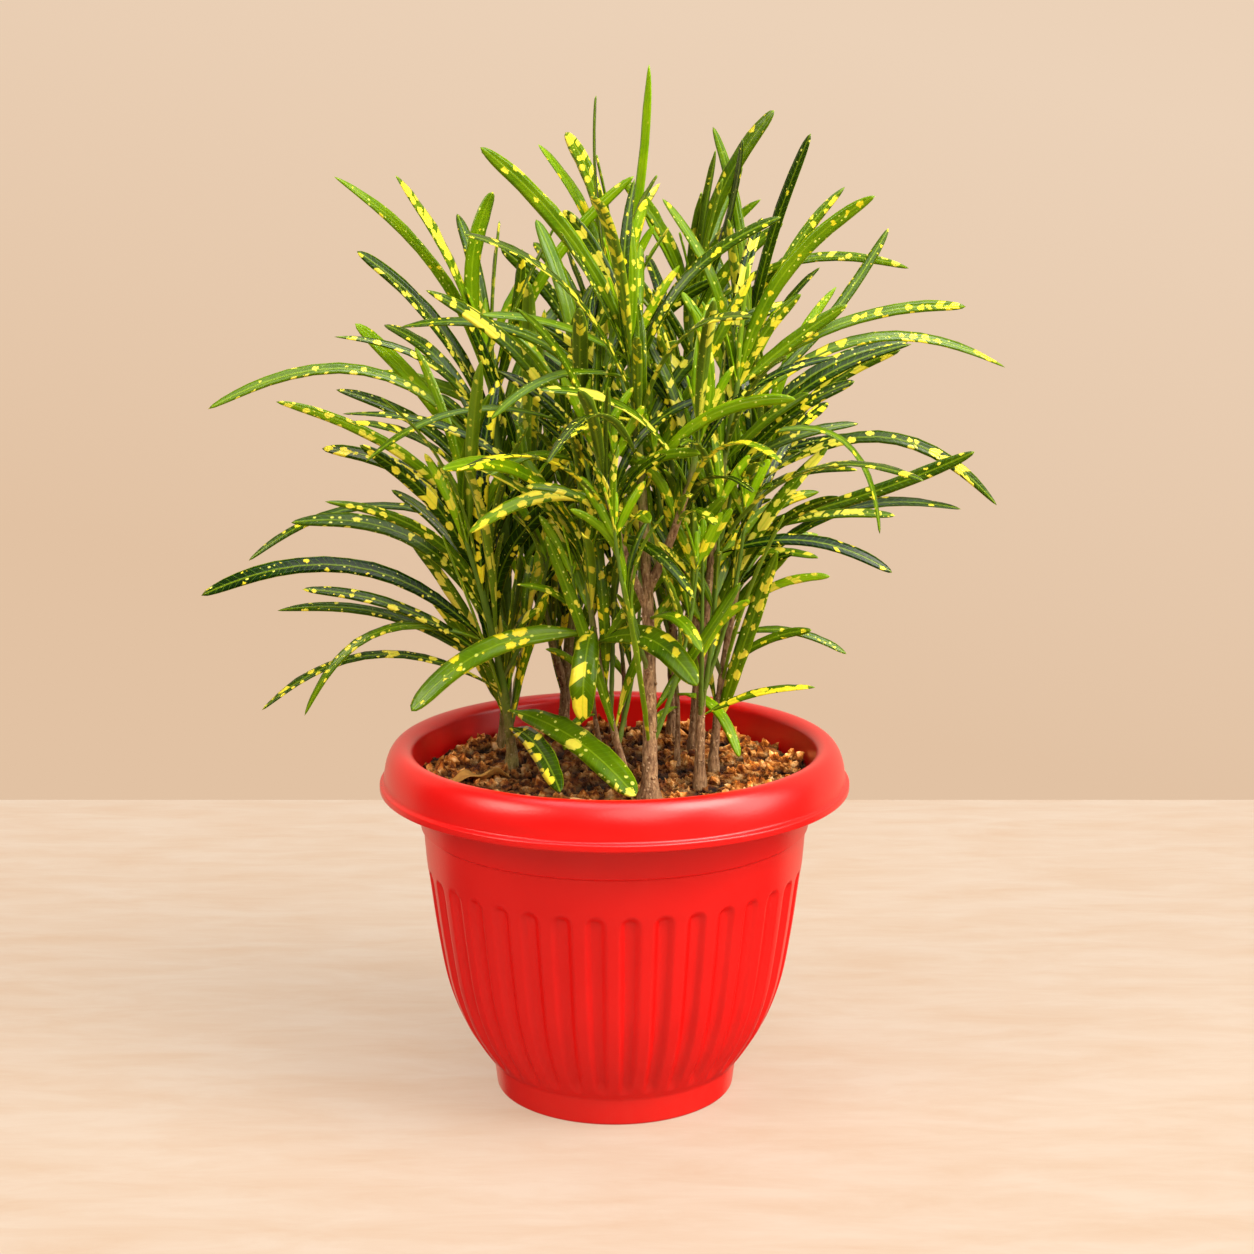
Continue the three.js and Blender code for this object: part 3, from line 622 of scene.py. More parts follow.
# %% Stems and leaves, in millimetres
STEMS = [
    {"name": "stem_left", "foot": (-51, 38), "top": (-57, 28, 330), "bow": (5, 0),
     "radii": (2.5, 1.3), "fill": {"count": 13, "from": 200, "lean": 160, "steep": 34},
     "leaves": [(300, -118, 0, 404, 0.12, 5.5), (292, -50, 28, 385, 0.05, 6),
                (306, -40, 24, 373, -0.04, 6.5), (290, -99, 12, 363, 0.06, 4),
                (250, -113, 20, 341, 0.06, 7), (270, -121, 10, 336, 0.2, 4),
                (226, -147, 10, 308, 0.12, 5), (234, -121, 12, 313, 0.16, 6),
                (268, -176, 0, 307, 0.25, 5), (238, -163, 20, 236, 0.2, 4),
                (300, 6, 10, 404, 0.1, 5), (312, -22, 16, 384, 0.04, 5)]},
    {"name": "stem_left_front", "foot": (-46, 6), "top": (-64, -8, 250), "bow": (3, -2),
     "radii": (2.2, 1.2), "fill": {"count": 12, "from": 178, "lean": 205, "steep": 50},
     "leaves": [(198, -177, -20, 228, 0.2, 7), (208, -139, -10, 258, 0.2, 7.5),
                (190, -134, -16, 230, 0.1, 5), (186, -148, 2, 217, 0.13, 5),
                (202, -136, -8, 172, 0.27, 4.5), (180, -157, 6, 171, 0.2, 4.5),
                (172, 9, -76, 155, 0.08, 12), (163, -22, -70, 155, 0.1, 9)]},
    {"name": "stem_back_left", "foot": (-24, 46), "top": (2, 34, 350), "bow": (-4, 4),
     "radii": (2.5, 1.3), "fill": {"count": 14, "from": 220, "lean": 115, "steep": 30},
     "leaves": [(343, -10, 20, 437, -0.05, 5), (337, 15, 28, 451, -0.03, 5.5),
                (347, -14, 24, 412, 0.05, 5), (340, -53, 8, 414, 0.1, 4),
                (332, 23, -4, 383, 0.05, 6)]},
    {"name": "stem_back_left", "foot": (-23, 46, 172), "top": (-38, 30, 262), "bow": (-3, 0),
     "radii": (2, 1.1), "fill": {"count": 9, "from": 186, "lean": 270, "steep": 58},
     "leaves": [(240, -62, 24, 352, 0.05, 6), (250, -30, 8, 348, 0.04, 6)]},
    {"name": "stem_middle", "foot": (15, -53), "top": (6, -38, 338), "bow": (3, 6),
     "radii": (3.3, 1.3), "fill": {"count": 11, "from": 284, "lean": 250},
     "leaves": [(330, -53, -56, 350, 0.08, 5), (322, -49, -66, 309, 0.16, 5),
                (305, -24, -76, 299, 0.1, 5), (262, -59, -62, 262, 0.19, 6),
                (222, 36, -74, 215, 0.2, 6)]},
    {"name": "stem_middle", "foot": (14, -40.5, 234), "top": (36, -44, 304), "bow": (3, -2),
     "radii": (2.1, 1.1), "fill": {"count": 7, "from": 264, "lean": 300, "size": 0.8},
     "leaves": [(262, 41, -78, 268, 0.18, 5)]},
    {"name": "stem_middle", "foot": (14, -41, 226), "top": (-8, -46, 298), "bow": (-2, -2),
     "radii": (1.8, 1), "fill": {"count": 6, "from": 258, "lean": 225, "size": 0.75},
     "leaves": []},
    {"name": "stem_slim", "foot": (5, -32), "top": (-14, -12, 302), "bow": (-6, -2),
     "radii": (1.7, 1), "fill": {"count": 11, "from": 226, "lean": 190, "steep": 24},
     "leaves": [(298, -104, -30, 287, 0.17, 4), (284, -51, -42, 283, 0.14, 4),
                (250, 41, -62, 236, 0.18, 5), (216, -13, -50, 180, 0.22, 11),
                (208, 34, -78, 202, 0.18, 11), (212, -86, -40, 182, 0.15, 10)]},
    {"name": "stem_back", "foot": (27, 62), "top": (36, 54, 352), "bow": (-3, 4),
     "radii": (2.4, 1.3), "fill": {"count": 16, "from": 206, "lean": 80, "steep": 22},
     "leaves": [(340, 56, 40, 420, -0.05, 6), (344, 44, 32, 415, 0.05, 5),
                (348, 47, 30, 403, 0.03, 5), (338, 127, 14, 365, 0.15, 4.5)]},
    {"name": "stem_right", "foot": (37, -26), "top": (52, -30, 322), "bow": (-4, 2),
     "radii": (2.2, 1.2), "fill": {"count": 9, "from": 240, "lean": 320},
     "leaves": [(318, 97, -25, 352, 0.03, 6), (319, 149, -6, 350, 0.1, 5),
                (302, 167, -4, 324, 0.2, 5), (308, 118, 16, 382, -0.06, 4.5),
                (272, 99, -42, 322, 0.1, 6), (286, 82, -34, 317, 0.06, 5),
                (280, 104, -12, 301, 0.08, 4.5), (292, 113, -22, 255, 0.36, 4),
                (318, 55, -36, 370, 0.02, 6), (314, 77, -34, 357, 0.08, 5),
                (246, 117, -36, 241, 0.14, 6), (176, 86, -30, 190, 0.08, 4)]},
    {"name": "stem_right", "foot": (38, -25.5, 206), "top": (24, -16, 296), "bow": (-3, 2),
     "radii": (1.6, 1), "fill": {"count": 6, "from": 254, "lean": 280, "size": 0.7, "steep": 24},
     "leaves": []},
    {"name": "stem_far_right", "foot": (44, 0), "top": (66, 4, 285), "bow": (-3, 0),
     "radii": (2, 1.2), "fill": {"count": 10, "from": 224, "lean": 10, "size": 0.85, "steep": 22},
     "leaves": [(255, 155, -4, 288, -0.03, 6), (274, 166, 0, 264, 0.24, 6),
                (250, 120, -16, 262, 0.07, 5), (242, 88, -12, 243, 0.06, 4.5),
                (214, 94, -2, 233, 0.12, 4), (190, 86, -6, 210, 0.1, 4),
                (206, 102, 0, 198, 0.12, 4), (226, 77, -14, 245, 0.1, 4.5)]},
    {"name": "stem_back_right", "foot": (36, 32), "top": (60, 42, 318), "bow": (-4, 3),
     "radii": (2.2, 1.2), "fill": {"count": 14, "from": 210, "lean": 50, "steep": 20},
     "leaves": [(306, 86, 30, 422, 0.05, 6.5), (300, 46, 60, 427, 0.14, 5),
                (310, 49, 14, 386, 0.04, 6)]},
    {"name": "stem_back_right", "foot": (39, 36.5, 196), "top": (28, 22, 290), "bow": (-2, 3),
     "radii": (1.6, 1), "fill": {"count": 6, "from": 230, "lean": 200, "size": 0.8, "steep": 40},
     "leaves": []},
    {"name": "shoot_right", "foot": (28, 8), "top": (26, 6, 196), "bow": (1, 0),
     "radii": (1.2, 0.8), "fill": {"count": 3, "from": 180, "lean": 90, "size": 0.42},
     "leaves": [(178, 54, -26, 158, 0.22, 5), (172, 14, -14, 160, 0.2, 4),
                (190, 34, -6, 226, 0.05, 4)]},
    {"name": "shoot_middle", "foot": (-6, 10), "top": (-10, 8, 186), "bow": (-1, 0),
     "radii": (1.2, 0.8), "fill": {"count": 3, "from": 170, "lean": 90, "size": 0.38},
     "leaves": [(168, -22, -14, 158, 0.2, 4), (180, -2, 2, 214, 0.05, 4)]},
    {"name": "shoot_back", "foot": (4, 68), "top": (2, 74, 190), "bow": (1, 1),
     "radii": (1.2, 0.8), "fill": {"count": 3, "from": 176, "lean": 90, "size": 0.42},
     "leaves": [(170, -14, 92, 180, 0.2, 4.5), (184, 10, 88, 220, 0.08, 4.5)]},
]
STRAIGHT_TOP = 152
GOLDEN = 137.508
print("stems:", len(STEMS))


# %% [markdown]
# ### Where the leaves went
#
# The measured model let each leaf swing a few degrees until it cleared its neighbours. The same
# swings are tried here in the same order, and the leaf has taken the first one whose tip is a
# corner of the stem's solid. So the fine leaves lie where the plain ones are.

# %% Growing rules
TURNS = (0, -5, 5, -10, 10, -16, 16)
LIFTS = (0, 4, -4, 9, -9)
# How near a tip lies to its corner, in millimetres
TIP_MATCH = 0.08
STEM_STEPS = 5
UP = Vector((0, 0, 1))


def draws(seed):
    """Seeded random numbers from 0 to 1, the same ones as the measured model's."""
    state = seed
    while True:
        state = (state + 0x6D2B79F5) & 0xFFFFFFFF
        mix = ((state ^ (state >> 15)) * (state | 1)) & 0xFFFFFFFF
        mix ^= (mix + ((mix ^ (mix >> 7)) * (mix | 61))) & 0xFFFFFFFF
        yield ((mix ^ (mix >> 14)) & 0xFFFFFFFF) / 2 ** 32


def stem_point(stem, share):
    """A point of the stem's bowed middle line, from foot to top."""
    start, end = Vector((*stem["foot"], STRAIGHT_TOP)[:3]), Vector(stem["top"])
    middle = (start + end) / 2 + 2 * Vector((*stem["bow"], 0))
    return start * (1 - share) ** 2 + middle * 2 * share * (1 - share) + end * share ** 2


def point_at_height(stem, height):
    line = [stem_point(stem, i / STEM_STEPS) for i in range(STEM_STEPS + 1)]
    for low, high in zip(line, line[1:]):
        if height <= high.z or high is line[-1]:
            return low.lerp(high, min(1, max(0, (height - low.z) / (high.z - low.z))))


def shown_leaves(stem, draw):
    """The listed leaves, each with its chord from the stem to its tip."""
    for height, x, y, z, arch, width in stem["leaves"]:
        root = point_at_height(stem, height)
        chord = Vector((x, y, z)) - root
        yield {"root": root, "turn": math.degrees(math.atan2(chord.y, chord.x)),
               "lift": math.degrees(math.atan2(chord.z, math.hypot(chord.x, chord.y))),
               "length": chord.length, "arch": arch, "width": width,
               "roll": (next(draw) * 2 - 1) * 16, "tip": (x, y)}


def inwardness(turn, lean):
    """From 0 for a leaf that leans out of the crown to 1 for one that points into it."""
    return (1 - math.cos(math.radians(turn - lean))) / 2


def fill_leaves(stem, draw):
    """The leaves of the spiral, in degrees and millimetres; each draw is a little luck.

    From the lowest leaf to the top they rise from steep to 62 degrees and get 32 mm shorter.
    """
    fill = stem["fill"]
    size, low, top = fill.get("size", 1), fill["from"], stem["top"][2]
    steep = fill.get("steep", 8)
    for i in range(fill["count"]):
        share = (i + 0.5) / fill["count"]
        spiral = fill["lean"] + i * GOLDEN + (next(draw) * 2 - 1) * 15
        inward = inwardness(spiral, fill["lean"])
        yield {"root": point_at_height(stem, low + (top - low) * share), "turn": spiral,
               "lift": (steep + (62 - steep) * share ** 1.3 + 22 * inward
                        + (next(draw) * 2 - 1) * 12),
               "length": size * ((124 - 32 * share) * (1 - 0.25 * inward)
                                 + (next(draw) * 2 - 1) * 14),
               "arch": 0.16 - 0.1 * share + next(draw) * 0.06,
               "width": math.sqrt(size) * (4.8 + next(draw) * 2.4),
               "roll": (next(draw) * 2 - 1) * 32}


def leaf_frame(leaf):
    """The directions of a leaf: along its chord, up over it, and to its side."""
    turn, lift = math.radians(leaf["turn"]), math.radians(leaf["lift"])
    out = Vector((math.cos(turn), math.sin(turn), 0))
    along = out * math.cos(lift) + UP * math.sin(lift)
    over = UP * math.cos(lift) - out * math.sin(lift)
    return along, over, Vector((-math.sin(turn), math.cos(turn), 0))


def swings(leaf, lifts, turns, steepest=90):
    """The leaf in each of its possible swings, in order."""
    for rise in lifts:
        for swing in turns:
            yield {**leaf, "turn": leaf["turn"] + swing, "lift": min(steepest, leaf["lift"] + rise)}


def grown(leaf, corners):
    """The leaf in the swing it took in the measured model, or nothing if it had no room."""
    for bent in swings(leaf, LIFTS, TURNS, math.inf):
        tip = bent["root"] + leaf_frame(bent)[0] * bent["length"]
        if corners.find(tip * MM)[2] < TIP_MATCH * MM:
            return bent


def corner_tree(name):
    vertices = frame["nodes"][name].data.vertices
    tree = KDTree(len(vertices))
    for i, vertex in enumerate(vertices):
        tree.insert(vertex.co, i)
    tree.balance()
    return tree


leaves = []
for i, stem in enumerate(STEMS):
    corners = corner_tree(stem["name"])
    found = [grown(leaf, corners) for leaf in (*shown_leaves(stem, draws(100 + i)),
                                               *fill_leaves(stem, draws(200 + i)))]
    leaves.append([leaf for leaf in found if leaf])
print("leaves:", sum(map(len, leaves)))

# %% [markdown]
# ### Leaves between the leaves
#
# The measured model holds the leaves that give the plant its shape. A living croton also has
# narrower leaves between them and a tuft of tiny new ones at each tip. They follow the same spiral.
# Each is tried against coarse strips of all the others, in a tree of bounding boxes, so that it
# grows only where it crosses nothing. Thin twigs find their way up in the same manner.

# %% Room for more leaves
# A strip's stations: share of the length, then share of the half width
STATIONS = ((0.16, 0.5), (0.4, 1.0), (0.65, 1.0), (0.86, 0.8), (1.0, 0.1))
LEAF_ROOM = 0.5
STEM_ROOM = 0.6
# A stem's tube has three sides, at these angles
THIRDS = (0, 2.09, 4.19)
BOX_ROOM = 2
SOIL_CLEAR = 152
RIM_CLEAR = {"radius": 76, "height": 166}


def leaf_roll(leaf):
    """How far the blade turns its face outwards, in radians."""
    facing = 50 + 32 * max(0, math.sin(math.radians(leaf["lift"])))
    return math.radians(leaf["roll"] + facing * math.cos(math.radians(leaf["turn"])))


def strip_of(leaf):
    """A coarse strip of the blade, with a little room at its edges, in millimetres."""
    along, over, aside = leaf_frame(leaf)
    length, roll, rise = leaf["length"], leaf_roll(leaf), leaf["arch"] * 4
    corners = []
    for share, wide in STATIONS:
        centre = leaf["root"] + length * (along * share + over * rise * share * (1 - share))
        ahead = (along + over * rise * (1 - 2 * share)).normalized()
        above = ahead.cross(aside)
        across = aside * math.cos(roll) + above * math.sin(roll)
        normal = above * math.cos(roll) - aside * math.sin(roll)
        half = wide * (leaf["width"] / 2 + LEAF_ROOM)
        corners += [centre + across * half, centre - normal * half * 0.3, centre - across * half]
    return corners


def tube_of(stem):
    """A coarse three-sided tube about a stem."""
    radius = stem["radii"][0] + STEM_ROOM
    ring = [Vector((radius * math.cos(turn), radius * math.sin(turn), 0)) for turn in THIRDS]
    return [stem_point(stem, i / STEM_STEPS) + side for i in range(STEM_STEPS + 1) for side in ring]


def obstacle(corners, closed=False):
    """Rings of three corners as a box and a searchable surface."""
    faces = []
    for first in range(0, len(corners) - 3, 3):
        for a, b in ((0, 1), (1, 2), (2, 0))[:3 if closed else 2]:
            faces.append((first + a, first + b, first + 3 + b, first + 3 + a))
    spots = np.array(corners)
    return spots.min(axis=0), spots.max(axis=0), BVHTree.FromPolygons(corners, faces)


class Crowd:
    """What has already grown; asks whether a new strip crosses any of it."""

    def __init__(self):
        self.lows, self.highs, self.surfaces = [], [], []

    def add(self, thing):
        for values, value in zip((self.lows, self.highs, self.surfaces), thing):
            values.append(value)

    def clear(self, thing):
        low, high, surface = thing
        near = np.all((np.array(self.lows) <= high) & (np.array(self.highs) >= low), axis=1)
        return not any(surface.overlap(self.surfaces[i]) for i in np.flatnonzero(near))


crowd = Crowd()
for stem, group in zip(STEMS, leaves):
    crowd.add(obstacle(tube_of(stem), closed=True))
    for leaf in group:
        crowd.add(obstacle(strip_of(leaf)))
print("obstacles:", len(crowd.surfaces))

# %% Twigs
TALL = 240
TWIGS_A_STEM = 3
TRIES_A_TWIG = 14
TWIG_RADII = (1.15, 0.6)
TWIG_FILL = {"count": 4, "size": 0.62, "steep": 34}


def twig_from(stem, draw):
    """A thin green twig that leaves a stem low down and climbs beside it."""
    foot = stem_point(stem, draw.uniform(0.08, 0.4))
    turn = draw.uniform(0, 360)
    away = Vector((math.cos(math.radians(turn)), math.sin(math.radians(turn)), 0))
    rise = draw.uniform(58, 100)
    top = foot + away * draw.uniform(10, 24) + UP * rise
    return {"name": stem["name"], "foot": tuple(foot), "top": tuple(top), "twig": True,
            "bow": (4 * away.x, 4 * away.y), "radii": TWIG_RADII,
            "fill": {**TWIG_FILL, "from": foot.z + 0.4 * rise, "lean": turn}}


def grow_twigs(stem, draw):
    """As many twigs as find a clear way up in a few tries each."""
    found = []
    for _ in range(TRIES_A_TWIG * TWIGS_A_STEM):
        twig = twig_from(stem, draw)
        # Without the first two rings, which lie in the stem it leaves
        thing = obstacle(tube_of(twig)[6:], closed=True)
        lower = twig["top"][2] < stem["top"][2]
        if len(found) < TWIGS_A_STEM and lower and crowd.clear(thing):
            crowd.add(thing)
            found.append(twig)
    return found


twigs = []
for i, stem in enumerate(STEMS):
    if stem["top"][2] > TALL:
        twigs += grow_twigs(stem, np.random.default_rng(500 + i))
PLANT = STEMS + twigs
leaves += [[] for _ in twigs]
print("twigs:", len(twigs))


# %% Leaves in the gaps
MORE_TURNS = (0, -9, 9, -20, 20)
MORE_LIFTS = (0, 7, -7, 14)
STEEPEST = 88
LOW_STRAPS = 7
NEW_LEAVES = 4


def low_straps(stem, draw):
    """Steep narrow straps that fill the foot of the crown."""
    fill = stem["fill"]
    for i in range(LOW_STRAPS):
        spiral = fill["lean"] + i * GOLDEN + draw.uniform(-25, 25)
        height = 158 + (fill["from"] - 150) * (i + draw.uniform(0, 0.6)) / LOW_STRAPS
        yield {"root": point_at_height(stem, height), "turn": spiral,
               "lift": draw.uniform(56, 80), "length": draw.uniform(56, 104),
               "arch": draw.uniform(0, 0.08), "width": draw.uniform(5, 7.6),
               "roll": draw.uniform(-40, 40)}


def between_leaves(stem, draw):
    """Short narrow leaves in a spiral of their own, most of them steep."""
    fill = stem["fill"]
    size, low, top = fill.get("size", 1), fill["from"] - 8, stem["top"][2]
    steep, count = fill.get("steep", 12) + 16, round(1.7 * fill["count"])
    for i in range(count):
        share = (i + 0.5) / count
        spiral = fill["lean"] + 70 + i * GOLDEN + draw.uniform(-20, 20)
        inward = inwardness(spiral, fill["lean"])
        yield {"root": point_at_height(stem, low + (top - low) * share), "turn": spiral,
               "lift": steep + (74 - steep) * share + 14 * inward + draw.uniform(-18, 14),
               "length": size * ((84 - 22 * share) * (0.8 + 0.2 * inward) + draw.uniform(-20, 14)),
               "arch": 0.15 - 0.1 * share + draw.uniform(-0.03, 0.08),
               "width": math.sqrt(size) * draw.uniform(3.8, 6.4), "roll": draw.uniform(-36, 36)}


def tip_tuft(stem, draw):
    """The newest leaves, tiny and folded together at the tip."""
    size = stem["fill"].get("size", 1)
    for i in range(NEW_LEAVES):
        yield {"root": point_at_height(stem, stem["top"][2] - 2 - 2 * i), "turn": 90 + i * GOLDEN,
               "lift": 78 - 7 * i + draw.uniform(-4, 4), "length": size * (24 + 9 * i),
               "arch": 0.04, "width": 3 + 0.4 * i, "roll": 0, "new": True}


def has_place(corners):
    """Inside the measured model's box, over the rim and off the soil."""
    spots = np.array(corners)
    low, high = np.array(cad_low) / MM + BOX_ROOM, np.array(cad_high) / MM - BOX_ROOM
    heights, reach = spots[:, 2], np.hypot(spots[:, 0], spots[:, 1])
    on_rim = (reach > RIM_CLEAR["radius"]) & (heights < RIM_CLEAR["height"])
    inside = (spots >= low).all() and (spots <= high).all()
    return inside and (heights > SOIL_CLEAR).all() and not on_rim.any()


def first_clear(leaf):
    """The leaf in the first of a few swings that crosses nothing."""
    for bent in swings(leaf, MORE_LIFTS, MORE_TURNS, STEEPEST):
        strip = strip_of(bent)
        thing = obstacle(strip)
        if has_place(strip) and (leaf.get("new") or crowd.clear(thing)):
            crowd.add(thing)
            return bent


for i, stem in enumerate(PLANT):
    draw = np.random.default_rng(300 + i)
    extra = []
    if stem["top"][2] > TALL and len(stem["foot"]) == 2:
        extra += low_straps(stem, draw)
    if stem["fill"]["count"] > 3:
        extra += [*between_leaves(stem, draw), *tip_tuft(stem, draw)]
    found = [first_clear(leaf) for leaf in extra]
    leaves[i] += [leaf for leaf in found if leaf]
print("leaves with those between:", sum(map(len, leaves)))

# %% [markdown]
# ## Leaf skin
#
# A croton leaf is thick and waxy. Its top is deep green with a pale midrib, fine side veins and
# splashes of yellow: dots of about a millimetre, and blotches that run together along the midrib.
# The pattern has to follow the blade, so the leaf tree writes each point's place on the blade in
# millimetres, with a number of its own per leaf, and the material reads that attribute.


# %% Leaf material
def waxy_leaf():
    """Gives the eye deep green with splashes of yellow, under a thin waxy shine."""
    material, node = new_material("waxy_croton_leaf")
    place = node("Attribute", attribute_name="blade_place").outputs["Vector"]
    look = node("Attribute", attribute_name="blade_look").outputs["Vector"]
    grain = node("Attribute", attribute_name="pattern_grain").outputs["Fac"]
    across, along, number = node("SeparateXYZ", place).outputs
    young, gold, under = node("SeparateXYZ", look).outputs
    aside = node("Math ABSOLUTE", across)
    cloud = node("TexNoise", Vector=place, Scale=0.09, Detail=3.0)
    # Each leaf's whole number is rounded, because a surface carries it with tiny errors
    own = node("TexWhiteNoise", W=node("Math ROUND", number), noise_dimensions="1D")
    own_hue, own_pale, own_dots = node("SeparateColor", own.outputs["Color"]).outputs

    # Greens: deep when grown, lime when young; low straps in the crown's shade also get lime as
    # painted light
    cool = node("Mix RGBA", cloud, "#010a01", "#0a3202")
    olive = node("Mix RGBA", cloud, "#0c1800", "#385800")
    lime = node("Mix RGBA", cloud, "#4a9202", "#b6da0a")
    green = node("Mix RGBA", young, node("Mix RGBA", own_hue, cool, olive), lime)
    # Side veins leave the midrib at about 50 degrees, every 3 mm
    run = node("Math MULTIPLY_ADD", aside, -0.85, along)
    wobble = node("Math MULTIPLY_ADD", cloud, 4.0, run)
    vein = node("MapRange", node("Math PINGPONG", wobble, 1.5), 0.3, 0.0, 0.0, 0.2, **SMOOTH)
    veined = node("Mix RGBA", vein, green, "#7db510")

    # A flat plane of the pattern for each leaf, with ragged edges
    ragged = node("TexNoise", Vector=place, Scale=0.8, Detail=2.0)
    own_x = node("Math MULTIPLY_ADD", number, 1.7, node("Math MULTIPLY", across, grain))
    own_y = node("Math MULTIPLY_ADD", number, 3.1, node("Math MULTIPLY", along, grain))
    own_run = node("Math MULTIPLY_ADD", number, 3.1, node("Math MULTIPLY", run, grain))
    plane = node("CombineXYZ", own_x, node("Math MULTIPLY", own_y, 0.74))
    torn = node("VectorMath ADD", plane, node("VectorMath SCALE", ragged.outputs["Color"], 1.6))
    skewed = node("CombineXYZ", own_x, own_run)

    def spots(where, scale, amount, grow, largest, edge, shape="EUCLIDEAN"):
        """Round spots in random cells: amount is how many are filled, grow how fast they swell."""
        cells = node("TexVoronoi", Vector=where, Scale=scale, voronoi_dimensions="2D",
                     distance=shape)
        own = node("SeparateColor", cells.outputs["Color"])
        filled = node("Math SUBTRACT", node("Math ADD", own, amount), 1.0)
        size = node("Math MINIMUM", node("Math MULTIPLY", filled, grow), largest)
        return node("MapRange", node("Math SUBTRACT", cells, size), edge, -edge, **SMOOTH)

    # Dots of half a millimetre, spots of 2 to 5, and blocks of colour that end at a side vein
    dots = spots(plane, 0.5, node("Math MULTIPLY", own_dots, 0.45), 0.6, 0.22, 0.05)
    marks = spots(torn, 0.26, node("Math MULTIPLY_ADD", gold, 0.75, -0.02), 0.9, 0.38, 0.04)
    large = spots(torn, 0.15, node("Math MULTIPLY_ADD", gold, 0.8, -0.2), 0.9, 0.4, 0.02)
    blocks = spots(skewed, 0.15, node("Math MULTIPLY_ADD", gold, 1.5, -0.66), 1.0, 0.46, 0.02,
                   shape="CHEBYCHEV")
    splash = node("Math MAXIMUM", node("Math MAXIMUM", marks, large), blocks)
    bright = node("Mix RGBA", ragged, "#f0cc04", "#fff62e")
    yellow = node("Mix RGBA", node("Math MULTIPLY", own_pale, 0.5), bright, "#e6e86a")
    dotted = node("Mix RGBA", node("Math MULTIPLY", dots, 0.9), veined, "#e6ea66")
    splashed = node("Mix RGBA", splash, dotted, yellow)

    # The midrib is a fine pale line, and a hair of light runs along the margin
    rib = node("MapRange", aside, 0.5, 0.22, **SMOOTH)
    ribbed = node("Mix RGBA", node("Math MULTIPLY", rib, 0.3), splashed, "#a9c91c")
    off_edge = node("Math ABSOLUTE", node("Math SUBTRACT", under, 0.5))
    margin = node("MapRange", off_edge, 0.09, 0.02, 0.0, 0.45, **SMOOTH)
    edged = node("Mix RGBA", margin, ribbed, "#b9cf1c")
    # The underside is paler and dull
    below = node("Math GREATER_THAN", under, 0.501)
    colour = node("Mix RGBA", node("Math MULTIPLY", below, 0.3), edged, "#7fa010")
    rough = node("MapRange", below, To_Min=0.22, To_Max=0.6)
    # Channelled midrib, sunk veins and a fine uneven wax
    fine = node("TexNoise", Vector=place, Scale=0.35, Detail=1.0)
    sunk = node("Math MULTIPLY_ADD", vein, -0.8, fine)
    groove = node("Math MULTIPLY_ADD", rib, -0.9, sunk)
    bump = node("Bump", Height=groove, Strength=0.4, Distance=0.3 * MM)
    shader = node("BsdfPrincipled", colour, Roughness=rough, Normal=bump, IOR=1.47,
                  Specular_IOR_Level=0.3, Subsurface_Weight=0.1, Subsurface_Scale=1.0,
                  Subsurface_Radius=(2.2 * MM, 2.2 * MM, 0.2 * MM))
    node("OutputMaterial", shader)
    return material


leaf_skin = waxy_leaf()
print("leaf skin:", len(leaf_skin.node_tree.nodes), "nodes")

# %% [markdown]
# ## Leaves
#
# One unit blade serves every leaf of the plant. It is a flat closed strip: its x is the share of
# the length, and two attributes hold its outline for a pointed and for a blunt tip. Each stem gets
# a cloud of points, one for a leaf, that carry the leaf's directions and sizes. The tree puts a
# blade on each point, and works out every corner's real place from the numbers it inherited.

# %% The unit blade
# Share of the length, then the half width with a pointed tip and with a blunt one
BLADE_ROWS = [(0, 0.16, 0.16), (0.045, 0.15, 0.15), (0.09, 0.3, 0.3), (0.13, 0.47, 0.46),
              (0.18, 0.68, 0.66), (0.24, 0.83, 0.8), (0.31, 0.92, 0.88), (0.39, 0.97, 0.94),
              (0.47, 0.99, 0.98), (0.55, 1, 1), (0.63, 1, 1.01), (0.71, 0.98, 1.02),
              (0.78, 0.92, 1.02), (0.84, 0.83, 0.99), (0.89, 0.71, 0.93), (0.93, 0.54, 0.83),
              (0.96, 0.37, 0.67), (0.985, 0.18, 0.42)]
# Place across from one edge to the other and back: share of the half width, then the side's sign
BLADE_RING = [(1, 0), (0.5, 1), (0, 1), (-0.5, 1), (-1, 0), (0, -1)]


def unit_blade():
    marks = [(share, place, side, pointed, blunt) for share, pointed, blunt in BLADE_ROWS
             for place, side in BLADE_RING] + [(1, 0, 0, 0, 0)]
    ring, tip = len(BLADE_RING), len(marks) - 1
    last = tip - ring
    faces = [tuple(range(ring)), *ring_faces(len(BLADE_ROWS), ring),
             *((last + j, tip, last + (j + 1) % ring) for j in range(ring))]
    names = ("share", "place", "side", "pointed", "blunt")
    return mesh_object("unit_blade", [(mark[0], mark[1], 0.1 * mark[2]) for mark in marks], faces,
                       **dict(zip(names, zip(*marks))))


blade = unit_blade()
print("blade:", len(blade.data.polygons), "faces")

# %% [markdown]
# ### The leaf tree
#
# A leaf bends in one plane, as a parabola over its chord. Its section is a shallow channel, turned
# about the midrib by the leaf's roll, with a little more twist towards the tip. The margins wave.

# %% Leaf tree
NUMBERS = ("share", "place", "side", "pointed", "blunt", "number", "roll", "twist", "tip_blunt",
           "width", "young", "gold")
VECTORS = ("root", "along", "over", "aside")
TWIST_MIDDLE = 0.35
# Spots are drawn for a leaf of this width; a broader one has broader spots
PATTERN_WIDTH = 6


